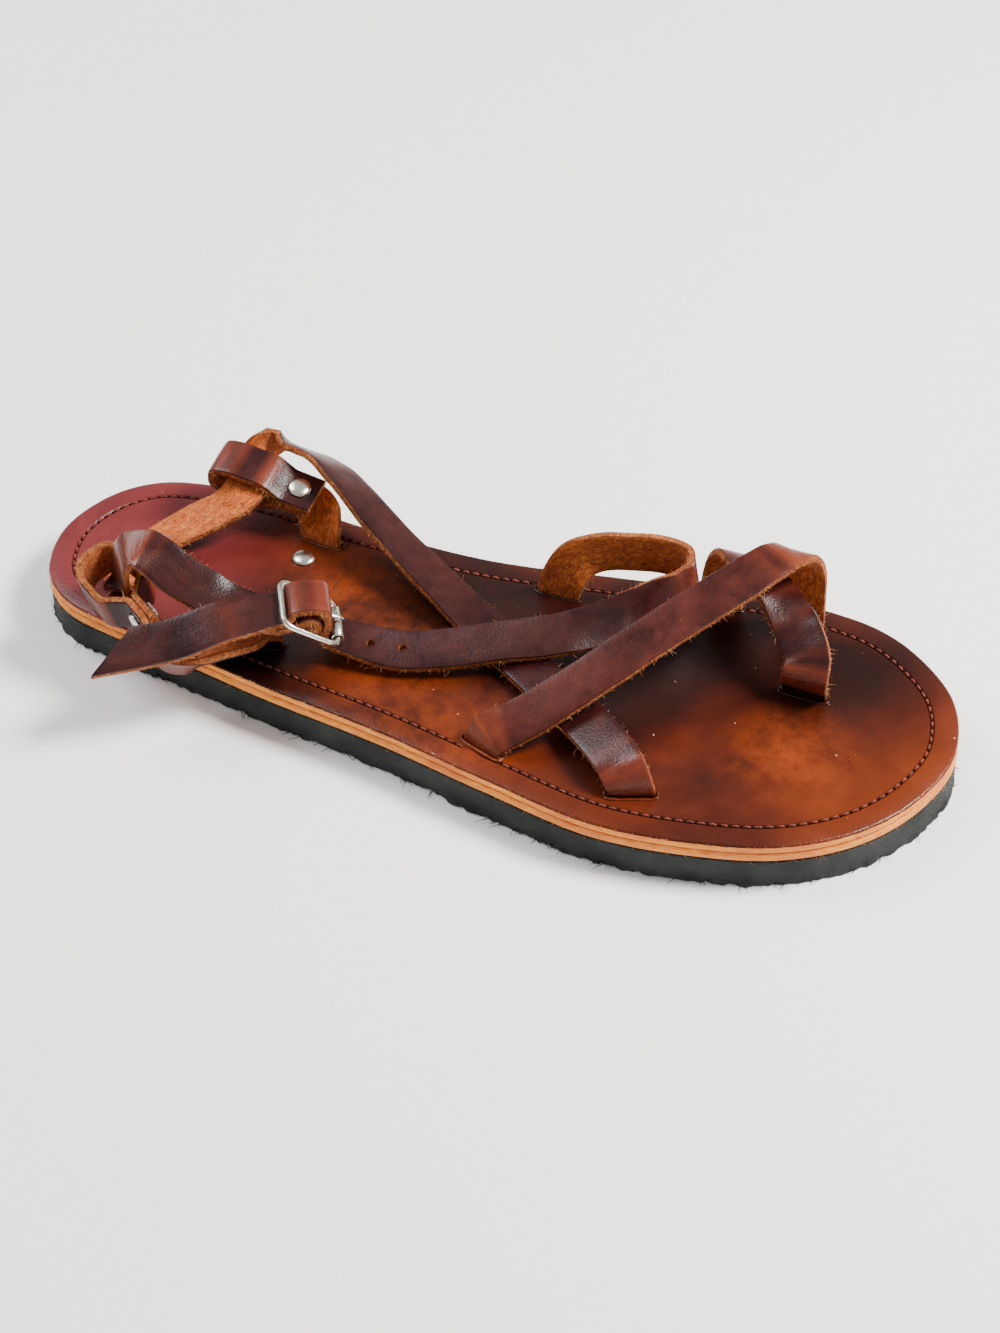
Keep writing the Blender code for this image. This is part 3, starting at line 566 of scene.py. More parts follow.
# A slot: along and across are shares of length and ball width, turn is its angle in degrees and
# grain the side that the strap's smooth face turns to.
Slot = namedtuple("Slot", "along across turn grain")
SLOTS = {
    "toe_front": Slot(0.833, 0.142, 0, -1),
    "toe_rear": Slot(0.707, 0.410, 0, 1),
    "cross_inner": Slot(0.797, 0.402, 4, 1),
    "cross_outer": Slot(0.561, -0.377, -19, -1),
    "instep_inner": Slot(0.543, 0.277, 0, 1),
    "ankle_outer": Slot(0.723, -0.394, 22, -1),
    "heel_inner": Slot(0.272, 0.230, -4, 1),
    "heel_outer": Slot(0.287, -0.232, 15, -1),
}
STRAP_WIDTH = 0.0142
STRAP_THICKNESS = 0.0026
GAP = 0.0003
FOOTBED_RIVETS = (on_sole(0.267, 0.141, FOOTBED + GAP), on_sole(0.285, -0.135, FOOTBED + GAP))
RIVET_SHANK = 0.0030
PUNCH_DEPTH = 0.012
ROUND_SIDES = 24


def cut_away(target, tool):
    """Takes the tool's shape out of the target and deletes the tool."""
    only(target)
    change = target.modifiers.new("cut", "BOOLEAN")
    change.operation = "DIFFERENCE"
    change.object = tool
    change.solver = "EXACT"
    bpy.ops.object.modifier_apply(modifier="cut")
    bpy.data.objects.remove(tool, do_unlink=True)


for slot in SLOTS.values():
    bpy.ops.mesh.primitive_cube_add(size=1.0, location=on_sole(slot.along, slot.across, FOOTBED))
    punch = bpy.context.active_object
    punch.rotation_euler = (0, 0, math.radians(slot.turn))
    punch.scale = (STRAP_WIDTH + 3 * GAP, STRAP_THICKNESS + 3 * GAP, PUNCH_DEPTH)
    punch.data.materials.append(raw_edge)
    cut_away(footbed, punch)
for seat in FOOTBED_RIVETS:
    bpy.ops.mesh.primitive_cylinder_add(
        vertices=ROUND_SIDES, radius=RIVET_SHANK / 2 + GAP, depth=PUNCH_DEPTH, location=seat
    )
    cut_away(footbed, bpy.context.active_object)
smooth(footbed, SOLE_CREASE)
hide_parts("insole")
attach(footbed, "root")

# The stitching: waxed red-brown thread in the groove, one short round stitch every 3.3 mm with a
# hole between, drawn as a small dark cone of painted shade, all round the footbed.
STITCH_PITCH = 0.0033
STITCH_SHARE = 0.40
STITCH_HALF_WIDE = 0.00048
STITCH_HALF_HIGH = 0.00046
STITCH_SUNK = 0.00006
STITCH_SAG = 0.00022
HOLE_SIDES = 10
NEEDLE_HOLE = 0.00052
DIMPLE_BELOW = 0.00030
DIMPLE_ABOVE = 0.00006
CLEAR_OF_SLOTS = 0.0024


def mottled(name, roughness, specular, scale, dark, light):
    """A material in two tones that run into each other, with its node tree, shader and pattern."""
    made, tree, shader = finish_base(name, roughness, specular)
    pattern = noise_node(tree, coordinate(tree), scale, 2.0)
    tones = ramp_node(tree, pattern, ((0.3, dark), (0.7, light)))
    tree.links.new(tones, shader.inputs["Base Color"])
    return made, tree, shader, pattern


thread, tree, shader, twist = mottled(
    "waxed_thread", 0.6, 0.3, 900.0, tint(58, 18, 14), tint(126, 52, 38)
)
bump_node(tree, shader, twist, 0.0003, 0.6)
# The needle holes' near-black material is painted shade: the holes are drawn as dark cones, not recesses.
needle_shadow = mottled("needle_hole_painted_shade", 0.9, 0.1, 900.0, tint(14, 5, 4), tint(34, 12, 8))[0]
groove = [point - outward * GROOVE_IN for point, outward in zip(sole_rim, rim_outward)]
around = sum((b - a).length for a, b in zip(groove, groove[1:] + groove[:1]))
holes = even_points(groove, int(around / STITCH_PITCH))
bpy.ops.mesh.primitive_uv_sphere_add(segments=8, ring_count=6, radius=1.0)
stitch = bpy.context.active_object
stitch_points = [v.co.copy() for v in stitch.data.vertices]
stitch_faces = [tuple(p.vertices) for p in stitch.data.polygons]
bpy.data.objects.remove(stitch, do_unlink=True)


def in_slot(point, clear):
    for slot in SLOTS.values():
        away = point - on_sole(slot.along, slot.across, point.z)
        away.rotate(Matrix.Rotation(-math.radians(slot.turn), 3, "Z"))
        if abs(away.x) < STRAP_WIDTH / 2 + clear and abs(away.y) < STRAP_THICKNESS / 2 + clear:
            return True
    return False


points = []
faces = []
kinds = []
for first, second in zip(holes, holes[1:] + holes[:1]):
    middle = (first + second) / 2
    if in_slot(middle, CLEAR_OF_SLOTS):
        continue
    run = (second - first).normalized()
    side = Vector((-run.y, run.x, 0))
    start = len(points)
    for point in stitch_points:
        sag = STITCH_SAG * point.x * point.x
        local = run * point.x * STITCH_PITCH * STITCH_SHARE + side * point.y * STITCH_HALF_WIDE
        height = FOOTBED - STITCH_SUNK + point.z * STITCH_HALF_HIGH - sag
        spot = middle + local + Vector((0, 0, height))
        points.append(tuple(spot))
    faces += [tuple(start + corner for corner in face) for face in stitch_faces]
    kinds += [0] * len(stitch_faces)
    # A needle hole: a dark cone set in the groove, painted shade standing in for the inside of the hole.
    start = len(points)
    for step in range(HOLE_SIDES):
        turn = math.tau * step / HOLE_SIDES
        rim = run * math.cos(turn) + side * math.sin(turn) * 1.1
        points.append(tuple(first + rim * NEEDLE_HOLE + Vector((0, 0, FOOTBED - DIMPLE_BELOW))))
    points.append(tuple(first + Vector((0, 0, FOOTBED + DIMPLE_ABOVE))))
    for step in range(HOLE_SIDES):
        faces.append((start + step, start + (step + 1) % HOLE_SIDES, start + HOLE_SIDES))
        kinds.append(1)
    faces.append(tuple(start + step for step in range(HOLE_SIDES))[::-1])
    kinds.append(1)
stitching = mesh_piece("stitching", points, faces, [thread, needle_shadow], kinds)
only(stitching)
bpy.ops.object.shade_smooth()
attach(stitching, "root")

# Slot lips: the footbed's own leather round each slot, which the punch and the strap have pushed
# up to a low soft rim.
LIP_SIDES = 8
LIP_STEPS = 64
LIP_RADIUS = 0.00042
LIP_OUT = 0.00075
LIP_SQUARENESS = 5.0
LIP_WIDER = 1.3
points = []
faces = []
for slot in SLOTS.values():
    centre = on_sole(slot.along, slot.across, FOOTBED)
    turn = Matrix.Rotation(math.radians(slot.turn), 3, "Z")
    half_long = STRAP_WIDTH / 2 + LIP_OUT
    half_wide = STRAP_THICKNESS / 2 + LIP_OUT
    path = []
    for step in range(LIP_STEPS):
        angle = math.tau * step / LIP_STEPS
        long, wide = math.cos(angle), math.sin(angle)
        reach = (abs(long) ** LIP_SQUARENESS + abs(wide) ** LIP_SQUARENESS) ** (-1 / LIP_SQUARENESS)
        path.append(Vector((long * reach * half_long, wide * reach * half_wide, 0)))
    start = len(points)
    for index, point in enumerate(path):
        run = (path[(index + 1) % LIP_STEPS] - path[index - 1]).normalized()
        outward = Vector((run.y, -run.x, 0))
        thick = LIP_RADIUS * (1 + 0.5 * noise.noise(point * 500 + centre * 90))
        for corner in range(LIP_SIDES):
            angle = math.tau * corner / LIP_SIDES
            spot = point + outward * math.cos(angle) * thick * LIP_WIDER
            spot += Vector((0, 0, math.sin(angle) * thick))
            points.append(tuple(centre + turn @ spot))
    for index in range(LIP_STEPS):
        for corner in range(LIP_SIDES):
            here = start + index * LIP_SIDES
            there = start + ((index + 1) % LIP_STEPS) * LIP_SIDES
            follow = (corner + 1) % LIP_SIDES
            faces.append((here + corner, here + follow, there + follow, there + corner))
lips = mesh_piece("slot_lips", points, faces, [footbed_leather])
turn_outward(lips)
bpy.ops.object.shade_smooth()
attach(lips, "root")

# The straps: strips of oiled strap leather, one piece for each strap of the frame. The strip is a
# rounded section swept along the strap's rows: smooth grain on one side, fibrous suede on the
# other and raw cut edges. It leaves its slots and folds over as the frame's strap does.
STRAP_RISE = 0.0300
TAIL_CUT = 0.0075
HOLE_DIAMETER = 0.0028
LOOP_LENGTH = 0.0285
INNER_LOOP_OPENING = 0.0078
OUTER_LOOP_OPENING = 0.0135
LOOP_OVERLAP = 0.0062
BUCKLE_LENGTH = 0.0216
BUCKLE_WIDTH = 0.0220
BUCKLE_WIRE = 0.0020
BUCKLE_CORNER = 0.0035
ROLLER_DIAMETER = 0.0040
PRONG_WIDTH = 0.0018
PRONG_DEPTH = 0.0014
LAYER_PITCH = STRAP_THICKNESS + GAP
STRAP_PATH_STEPS = 90
STRAP_MAX_TURN = math.radians(4.5)
STRAP_MAX_RUN = 0.0015
STRAP_MIN_STEP = 0.00005
STRAP_LONGEST_STEP = 0.0040
STRAP_CREASE = 42

# A strap's folds: along and across as in the outline, up is a share of the strap rise above the
# footbed, and grain is the direction that the smooth side faces.
Fold = namedtuple("Fold", "along across up grain")


def slot_grain(name):
    slot = SLOTS[name]
    turn = math.radians(slot.turn)
    return Vector((-math.sin(turn), math.cos(turn), 0)) * slot.grain


def fold_place(fold):
    return on_sole(fold.along, fold.across, FOOTBED + fold.up * STRAP_RISE)


def at_fold(fold):
    return fold_place(fold), Vector(fold.grain).normalized()


def slot_end(name):
    """The two rows of a strap that stands in a slot: its end above the midsole and its mouth."""
    slot = SLOTS[name]
    foot = on_sole(slot.along, slot.across, FOOTBED_LOW)
    return [(foot, slot_grain(name)), (on_sole(slot.along, slot.across, FOOTBED), slot_grain(name))]


def frame_matrix(origin, x_axis, y_axis, z_axis):
    turned = Matrix((x_axis, y_axis, z_axis)).transposed().to_4x4()
    turned.translation = origin
    return turned


# A heel loop lies in its own frame: run points from the rivet to the fold and facing is the
# side of the layer that comes back over the rivet.
Loop = namedtuple("Loop", "rivet run facing opening")
INNER_LOOP = Loop(
    rivet=Fold(0.238, 0.284, 0.41, None),
    run=(-0.98, -0.04, 0.18),
    facing=(0.16, -0.15, 0.97),
    opening=INNER_LOOP_OPENING,
)
OUTER_LOOP = Loop(
    rivet=Fold(0.174, -0.345, 0.335, None),
    run=(-0.86, 0.50, 0.12),
    facing=(0.48, 0.83, 0.28),
    opening=OUTER_LOOP_OPENING,
)

# The loop's half profile: run is a share of the loop length and swell of its half opening. The
# fold rows go on from it: side is the place across the fold, from back to front layer.
LoopRow = namedtuple("LoopRow", "run swell")
LOOP_PROFILE = (
    LoopRow(-0.14, 0.00),
    LoopRow(0.00, 0.00),
    LoopRow(0.14, 0.03),
    LoopRow(0.26, 0.50),
    LoopRow(0.37, 0.96),
    LoopRow(0.58, 1.02),
    LoopRow(0.80, 0.97),
)
LOOP_FOLD_SIDES = (-0.62, 0.0, 0.62)
LOOP_FOLD_DEPTH = 0.25
LOOP_FOLD_TURN = 1.6


def loop_frame(loop):
    run = Vector(loop.run).normalized()
    facing = Vector(loop.facing)
    facing = (facing - run * facing.dot(run)).normalized()
    return fold_place(loop.rivet), run, facing


def at_loop(loop, row):
    """A strap row given in the loop's own frame."""
    place, run, facing = loop_frame(loop)
    side = run.cross(facing)
    middle = place + run * row.run * LOOP_LENGTH
    middle += side * row.side * STRAP_WIDTH + facing * row.away * loop.opening
    along, across, outward = row.grain
    return middle, (run * along + side * across + facing * outward).normalized()


def loop_rows(loop):
    """Rows of a folded loop: out along its back layer, round the fold and over the rivet."""
    place, run, facing = loop_frame(loop)
    closed = LAYER_PITCH / 2
    swell = (loop.opening + STRAP_THICKNESS) / 2 - closed
    out = [(row.run * LOOP_LENGTH, closed + row.swell * swell) for row in LOOP_PROFILE]
    rows = [(place + run * along - facing * away, -facing) for along, away in out]
    for side in LOOP_FOLD_SIDES:
        fold_run = LOOP_LENGTH - abs(side) * swell * LOOP_FOLD_DEPTH
        middle = place + run * fold_run + facing * side * (closed + swell)
        rows.append((middle, (run + facing * side * LOOP_FOLD_TURN).normalized()))
    rows += [(place + run * along + facing * away, facing) for along, away in reversed(out)]
    rows.append((place - run * LOOP_OVERLAP + facing * closed, facing))
    return rows


# The buckle's frame: toward points along the strap to the roller, width to the outer side.
BUCKLE_PLACE = Fold(0.340, -0.205, 0.52, None)
BUCKLE_TOWARD = (0.694, 0.426, -0.583)
BUCKLE_ACROSS = (0.509, -0.863, -0.027)


def buckle_frame_axes():
    toward = Vector(BUCKLE_TOWARD).normalized()
    across = Vector(BUCKLE_ACROSS)
    across = (across - toward * across.dot(toward)).normalized()
    up = across.cross(toward)
    return fold_place(BUCKLE_PLACE), toward, across, up


def at_buckle(toward, up, facing=(0, 1)):
    """A strap row in the buckle's own plane; facing is (toward, up)."""
    origin, toward_axis, _, up_axis = buckle_frame_axes()
    grain = toward_axis * facing[0] + up_axis * facing[1]
    return origin + toward_axis * toward + up_axis * up, grain.normalized()


BAR_OFFSET = (BUCKLE_LENGTH - BUCKLE_WIRE) / 2
BAR_RADIUS = BUCKLE_WIRE / 2
WRAP_RADIUS = BAR_RADIUS + GAP + STRAP_THICKNESS / 2
UNDER_ROLLER = ROLLER_DIAMETER / 2 + GAP + STRAP_THICKNESS / 2

# A strap's way round a wire of the buckle, as angles in degrees from the toward direction. BEND
# is how much wider than its tightest fit the leather goes round.
BEND = 1.06
ROLLER_TURNS = (-60, -90, -125, -160)
BAR_TURNS = (42, 0, -32, -58)
FOLD_TURNS = (115, 60, 5, -50, -105)

# A strap's way between the buckle's wires: toward is a share of the bar offset, up of the wrap
# radius, and facing is the grain's (toward, up) direction.
Pass = namedtuple("Pass", "toward up facing")
INSTEP_ARCH = (
    Pass(0.41, 1.62, (0.85, 0.50)),
    Pass(0.06, 2.85, (0.0, 1.0)),
)
ANKLE_UNDER = (
    Pass(-0.69, -2.04, (-0.50, 0.85)),
    Pass(-0.42, -0.35, (-0.75, 0.65)),
)

# The slits that the prong stands in, as shares of the wrap radius in the buckle's plane.
Slit = namedtuple("Slit", "behind ahead below above")
FOLD_SLIT = Slit(-1.40, 1.77, -1.77, 1.77)
TIP_SLIT = Slit(0.92, 2.92, 0.08, 2.23)

TOE_STRAP = (
    Fold(0.834, 0.136, 0.10, (0.0, -1.0, -0.2)),
    Fold(0.835, 0.117, 0.22, (0.0, -0.9, -0.3)),
    Fold(0.836, 0.114, 0.34, (0.0, -1.0, 0.10)),
    Fold(0.834, 0.145, 0.48, (0.0, -0.9, 0.5)),
    Fold(0.820, 0.192, 0.60, (0.10, -0.75, 0.6)),
    Fold(0.801, 0.238, 0.70, (0.35, -0.40, 0.8)),
    Fold(0.777, 0.298, 0.77, (0.40, -0.10, 0.9)),
    Fold(0.742, 0.375, 0.76, (0.10, 0.25, 0.95)),
    Fold(0.717, 0.425, 0.62, (-0.20, 0.85, 0.50)),
    Fold(0.708, 0.428, 0.32, (0.0, 1.0, 0.0)),
)

CROSS_STRAP = (
    Fold(0.797, 0.404, 0.42, (0.0, 1.0, 0.0)),
    Fold(0.796, 0.406, 0.74, (0.0, 1.0, 0.15)),
    Fold(0.791, 0.396, 0.96, (0.0, 0.75, 0.65)),
    Fold(0.781, 0.358, 1.06, (0.0, 0.25, 1.0)),
    Fold(0.770, 0.310, 1.06, (0.0, -0.15, 1.0)),
    Fold(0.749, 0.225, 0.99, (-0.05, -0.40, 0.90)),
    Fold(0.690, 0.018, 0.74, (-0.05, -0.45, 0.90)),
    Fold(0.622, -0.220, 0.40, (-0.05, -0.45, 0.90)),
    Fold(0.588, -0.320, 0.24, (-0.12, -0.60, 0.80)),
    Fold(0.571, -0.356, 0.17, (-0.22, -0.80, 0.55)),
    Fold(0.562, -0.374, 0.09, (-0.33, -0.94, 0.10)),
)

INSTEP_RISE = (
    Fold(0.547, 0.280, 0.20, (0.0, 1.0, 0.0)),
    Fold(0.560, 0.298, 0.45, (-0.15, 1.0, -0.1)),
    Fold(0.583, 0.325, 0.56, (-0.20, 1.0, 0.0)),
    Fold(0.617, 0.350, 0.60, (-0.20, 1.0, 0.0)),
    Fold(0.650, 0.370, 0.60, (-0.05, 1.0, 0.0)),
    Fold(0.673, 0.367, 0.58, (0.55, 0.85, 0.0)),
    Fold(0.686, 0.330, 0.55, (1.0, 0.15, 0.1)),
    Fold(0.682, 0.277, 0.51, (0.80, -0.60, 0.2)),
    Fold(0.660, 0.205, 0.47, (0.30, -0.85, 0.45)),
    Fold(0.623, 0.107, 0.38, (0.0, -0.70, 0.70)),
    Fold(0.577, 0.018, 0.32, (-0.05, -0.45, 0.90)),
    Fold(0.527, -0.045, 0.26, (-0.05, -0.35, 0.93)),
    Fold(0.480, -0.107, 0.20, (-0.05, -0.35, 0.93)),
    Fold(0.433, -0.156, 0.17, (0.05, -0.25, 0.95)),
)

STRAP_TAIL = (
    Fold(0.275, -0.352, 0.66, (0.05, -0.40, 0.90)),
    Fold(0.231, -0.452, 0.55, (0.0, -0.50, 0.87)),
    Fold(0.178, -0.540, 0.48, (0.0, -0.50, 0.87)),
)

ANKLE_FRONT = (
    Fold(0.723, -0.397, 0.10, (0.37, -0.93, 0.1)),
    Fold(0.713, -0.380, 0.22, (0.30, -0.80, 0.5)),
    Fold(0.697, -0.340, 0.27, (0.15, -0.50, 0.85)),
    Fold(0.670, -0.280, 0.25, (0.05, -0.35, 0.9)),
    Fold(0.633, -0.205, 0.20, (0.0, -0.30, 0.95)),
    Fold(0.577, -0.098, 0.12, (0.0, -0.15, 1.0)),
    Fold(0.507, 0.018, 0.10, (0.0, -0.10, 1.0)),
    Fold(0.430, 0.127, 0.22, (0.0, 0.15, 1.0)),
    Fold(0.353, 0.232, 0.40, (-0.05, 0.35, 0.95)),
    Fold(0.285, 0.337, 0.58, (-0.05, 0.50, 0.87)),
    Fold(0.247, 0.386, 0.63, (-0.05, 0.65, 0.76)),
    Fold(0.222, 0.402, 0.62, (-0.10, 0.72, 0.70)),
    Fold(0.203, 0.420, 0.59, (-0.05, 0.80, 0.60)),
)

# The ankle strap's way through the inner loop, in the loop's frame: run is a share of the loop's
# length, side of the strap's width and away of the loop's opening.
Through = namedtuple("Through", "run side away grain")
ANKLE_THROUGH = (
    Through(0.53, 1.21, 0.10, (0.60, 0.75, 0.20)),
    Through(0.61, 0.96, 0.06, (1.00, 0.10, -0.15)),
    Through(0.60, 0.54, 0.03, (0.15, 0.00, -1.0)),
    Through(0.58, 0.00, 0.00, (0.0, 0.0, -1.0)),
    Through(0.57, -0.56, 0.12, (0.0, 0.0, -1.0)),
)

ANKLE_HEEL = (
    Fold(0.171, 0.155, 0.37, (0.0, 0.15, -1.0)),
    Fold(0.147, 0.090, 0.28, (0.0, 0.15, -1.0)),
    Fold(0.126, 0.030, 0.19, (0.0, 0.0, -1.0)),
    Fold(0.112, -0.054, 0.12, (0.0, 0.0, -1.0)),
    Fold(0.109, -0.125, 0.09, (0.0, 0.0, -1.0)),
    Fold(0.116, -0.185, 0.11, (-0.05, -0.05, -1.0)),
    Fold(0.128, -0.232, 0.20, (-0.45, -0.45, -0.75)),
    Fold(0.134, -0.269, 0.42, (-0.68, -0.73, 0.0)),
    Fold(0.1365, -0.278, 0.68, (-0.68, -0.63, 0.20)),
    Fold(0.1415, -0.275, 0.885, (-0.55, -0.50, 0.60)),
    Fold(0.153, -0.257, 0.97, (-0.20, -0.35, 0.93)),
    Fold(0.170, -0.252, 0.93, (0.0, -0.35, 0.93)),
    Fold(0.195, -0.260, 0.80, (0.0, -0.38, 0.9)),
    Fold(0.230, -0.266, 0.67, (0.05, -0.35, 0.9)),
    Fold(0.266, -0.262, 0.55, (0.20, -0.15, 0.95)),
)

HEEL_INNER = (
    Fold(0.271, 0.236, 0.10, (0.0, 1.0, 0.0)),
    Fold(0.2690, 0.255, 0.17, (0.0, 0.90, -0.45)),
    Fold(0.262, 0.278, 0.21, (0.0, 0.40, -0.92)),
)

HEEL_OUTER = (
    Fold(0.287, -0.248, 0.13, (0.25, -0.85, -0.4)),
    Fold(0.280, -0.300, 0.19, (0.20, -0.40, -0.9)),
    Fold(0.260, -0.375, 0.19, (0.25, -0.55, -0.8)),
    Fold(0.236, -0.440, 0.16, (0.15, -0.80, -0.55)),
    Fold(0.210, -0.440, 0.20, (-0.20, -0.92, -0.35)),
)

# The instep strap's free buckle holes, as places on it.
STRAP_HOLES = (
    Fold(0.402, -0.168, 0.15, (0.05, -0.25, 0.95)),
    Fold(0.436, -0.150, 0.14, (0.0, -0.30, 0.93)),
)


def rows_of(table):
    return [at_fold(fold) for fold in table]


def round_wire(centre, reach, turns):
    """Rows that go round a wire of the buckle with the grain away from it."""
    rows = []
    for turn in turns:
        side = (math.cos(math.radians(turn)), math.sin(math.radians(turn)))
        rows.append((centre + side[0] * reach, side[1] * reach, side))
    return rows


def in_buckle(table):
    return [at_buckle(row.toward * BAR_OFFSET, row.up * WRAP_RADIUS, row.facing) for row in table]


def instep_rows():
    """Up from its slot, under the roller, over the prong's bar and under the heel end's wire."""
    rows = slot_end("instep_inner") + rows_of(INSTEP_RISE)
    for toward, up, side in round_wire(BAR_OFFSET, UNDER_ROLLER * BEND, ROLLER_TURNS):
        rows.append(at_buckle(toward, up, (-side[0], -side[1])))
    rows += in_buckle(INSTEP_ARCH)
    for toward, up, side in round_wire(-BAR_OFFSET, WRAP_RADIUS * BEND, BAR_TURNS):
        rows.append(at_buckle(toward, up, (-side[0], -side[1])))
    return rows + rows_of(STRAP_TAIL)


def ankle_rows():
    """Up from its slot, through the inner loop, round the heel and on to the centre bar."""
    rows = slot_end("ankle_outer") + rows_of(ANKLE_FRONT)
    rows += [at_loop(INNER_LOOP, row) for row in ANKLE_THROUGH]
    rows += rows_of(ANKLE_HEEL) + in_buckle(ANKLE_UNDER)
    rows += [at_buckle(*row) for row in round_wire(0.0, WRAP_RADIUS, FOLD_TURNS)]
    return rows


def moves_on(last, station):
    """Whether every corner of the strip is ahead of the last one, so it can't fold over."""
    for side in (-STRAP_WIDTH / 2, STRAP_WIDTH / 2):
        for level in (-STRAP_THICKNESS / 2, STRAP_THICKNESS / 2):
            old = last[0] + last[1].cross(last[2]) * side + last[2] * level
            new = station[0] + station[1].cross(station[2]) * side + station[2] * level
            step = new - old
            if min(step.dot(last[1]), step.dot(station[1])) < STRAP_MIN_STEP:
                return False
    return True


def strap_stations(rows):
    """Places, directions and grain sides along a strap, closer together where it bends."""
    places = spline([row[0] for row in rows], STRAP_PATH_STEPS)
    grains = []
    for first, second in zip(rows, rows[1:]):
        for step in range(STRAP_PATH_STEPS):
            share = step / STRAP_PATH_STEPS
            ease = share * share * (3 - 2 * share)
            grains.append(first[1].slerp(second[1], ease))
    grains.append(rows[-1][1])
    kept = []
    for index, place in enumerate(places):
        before = places[max(index - 1, 0)]
        after = places[min(index + 1, len(places) - 1)]
        run = (after - before).normalized()
        face = (grains[index] - run * grains[index].dot(run)).normalized()
        station = (place, run, face)
        if index == len(places) - 1:
            while len(kept) > 1 and not moves_on(kept[-1], station):
                kept.pop()
        elif kept:
            last = kept[-1]
            turned = max(run.angle(last[1]), face.angle(last[2]))
            reach = (place - last[0]).length
            close = turned < STRAP_MAX_TURN and reach < STRAP_MAX_RUN
            if reach < STRAP_LONGEST_STEP and (close or not moves_on(last, station)):
                continue
        kept.append(station)
    return kept


# The strip's section, from the flesh side round to the grain: side is a share of half the width,
# level of half the thickness, and finish is 0 for grain, 1 for suede and 2 for the cut edge.
Corner = namedtuple("Corner", "side level finish")
SECTION = (
    [Corner(-0.94 + 0.235 * step, -1.0, 1) for step in range(8)]
    + [Corner(0.94, -1.0, 2), Corner(0.985, -0.86, 2), Corner(1.0, -0.4, 2), Corner(0.998, 0.15, 2)]
    + [Corner(0.988, 0.55, 0), Corner(0.955, 0.84, 0)]
    + [Corner(0.90 - 0.18 * step, 1.0 - 0.09 * abs(1 - 0.2 * step) ** 3, 0) for step in range(11)]
    + [Corner(-0.955, 0.84, 0), Corner(-0.988, 0.55, 2)]
    + [Corner(-0.998, 0.15, 2), Corner(-1.0, -0.4, 2), Corner(-0.985, -0.86, 2)]
)
EDGE_WANDER = 0.00016
FACE_WANDER = 0.00007
TAIL_STEPS = 8

# A strip bent round this radius counts as fully bent, and steps are taken as at least this long.
BEND_RADIUS = 0.010
BEND_SHORTEST = 0.0002
strap_edges = []


def section_ring(station, distance, seed, slant):
    """The strip's section at a station, with the small unevenness of a hand-cut strip."""
    place, run, face = station
    across = run.cross(face)
    ring = []
    for side, level, _ in SECTION:
        wander = noise.noise(Vector((distance * 130, side * 2, seed))) * EDGE_WANDER
        wander += noise.noise(Vector((distance * 900, level * 2, seed + 5))) * EDGE_WANDER * 0.35
        swell = noise.noise(Vector((distance * 160, side * 1.6, seed + 9 + level))) * FACE_WANDER
        reach = side * (STRAP_WIDTH / 2 + wander)
        rise = level * (STRAP_THICKNESS / 2 + swell)
        ring.append(place + across * reach + face * rise + run * slant * side)
    return ring


def leather_strip(name, node, rows, finishes, end_cut=0.0):
    """The strip for one strap, with its length as u, its way round as v and how much it bends."""
    stations = strap_stations(rows)
    seed = 7.3 * (len(strap_edges) + 1)
    while (stations[-1][0] - stations[-2][0]).length < abs(end_cut) * 1.2:
        stations.pop(-2)
    rings = []
    along = []
    bends = []
    distance = 0.0
    for index, station in enumerate(stations):
        before = stations[max(index - 1, 0)]
        after = stations[min(index + 1, len(stations) - 1)]
        distance += (station[0] - before[0]).length
        slant = end_cut if station is stations[-1] else 0.0
        step = max((after[0] - before[0]).length, BEND_SHORTEST)
        bent = -(after[1] - before[1]).dot(station[2]) / step * BEND_RADIUS
        bends.append(max(-1.0, min(1.0, bent)))
        if slant:
            last = rings[-1]
            ending = section_ring(station, distance, seed, slant)
            start = along[-1]
            for part in range(1, TAIL_STEPS):
                rings.append([a.lerp(b, part / TAIL_STEPS) for a, b in zip(last, ending)])
                along.append(start + (distance - start) * part / TAIL_STEPS)
                bends.insert(-1, 0.0)
            rings.append(ending)
        else:
            rings.append(section_ring(station, distance, seed, 0.0))
        along.append(distance)
    around = [0.0]
    for a, b in zip(SECTION, SECTION[1:] + SECTION[:1]):
        wide = (a.side - b.side) * STRAP_WIDTH / 2
        high = (a.level - b.level) * STRAP_THICKNESS / 2
        around.append(around[-1] + math.hypot(wide, high))
    size = len(SECTION)
    points = [point for ring in rings for point in ring]
    faces = []
    kinds = []
    maps = []
    for row in range(len(rings) - 1):
        for corner in range(size):
            follow = (corner + 1) % size
            low, high = row * size, (row + 1) * size
            faces.append((low + corner, low + follow, high + follow, high + corner))
            kinds.append(SECTION[corner].finish)
            near, far = around[corner], around[corner + 1]
            maps += [(along[row], near), (along[row], far), (along[row + 1], far), (along[row + 1], near)]
    for cap in (tuple(range(size))[::-1], tuple(range(len(points) - size, len(points)))):
        faces.append(cap)
        kinds.append(2)
        maps += [(0.0, 0.0)] * size
    made = mesh_piece(name, points, faces, finishes, kinds)
    layer = made.data.uv_layers.new(name="strip")
    layer.data.foreach_set("uv", [value for pair in maps for value in pair])
    bend = made.data.attributes.new("bend", "FLOAT", "POINT")
    bend.data.foreach_set("value", [value for value in bends for _ in range(size)])
    turn_outward(made)
    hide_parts(node)
    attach(made, "root")
    strap_edges.append(stations)
    return made


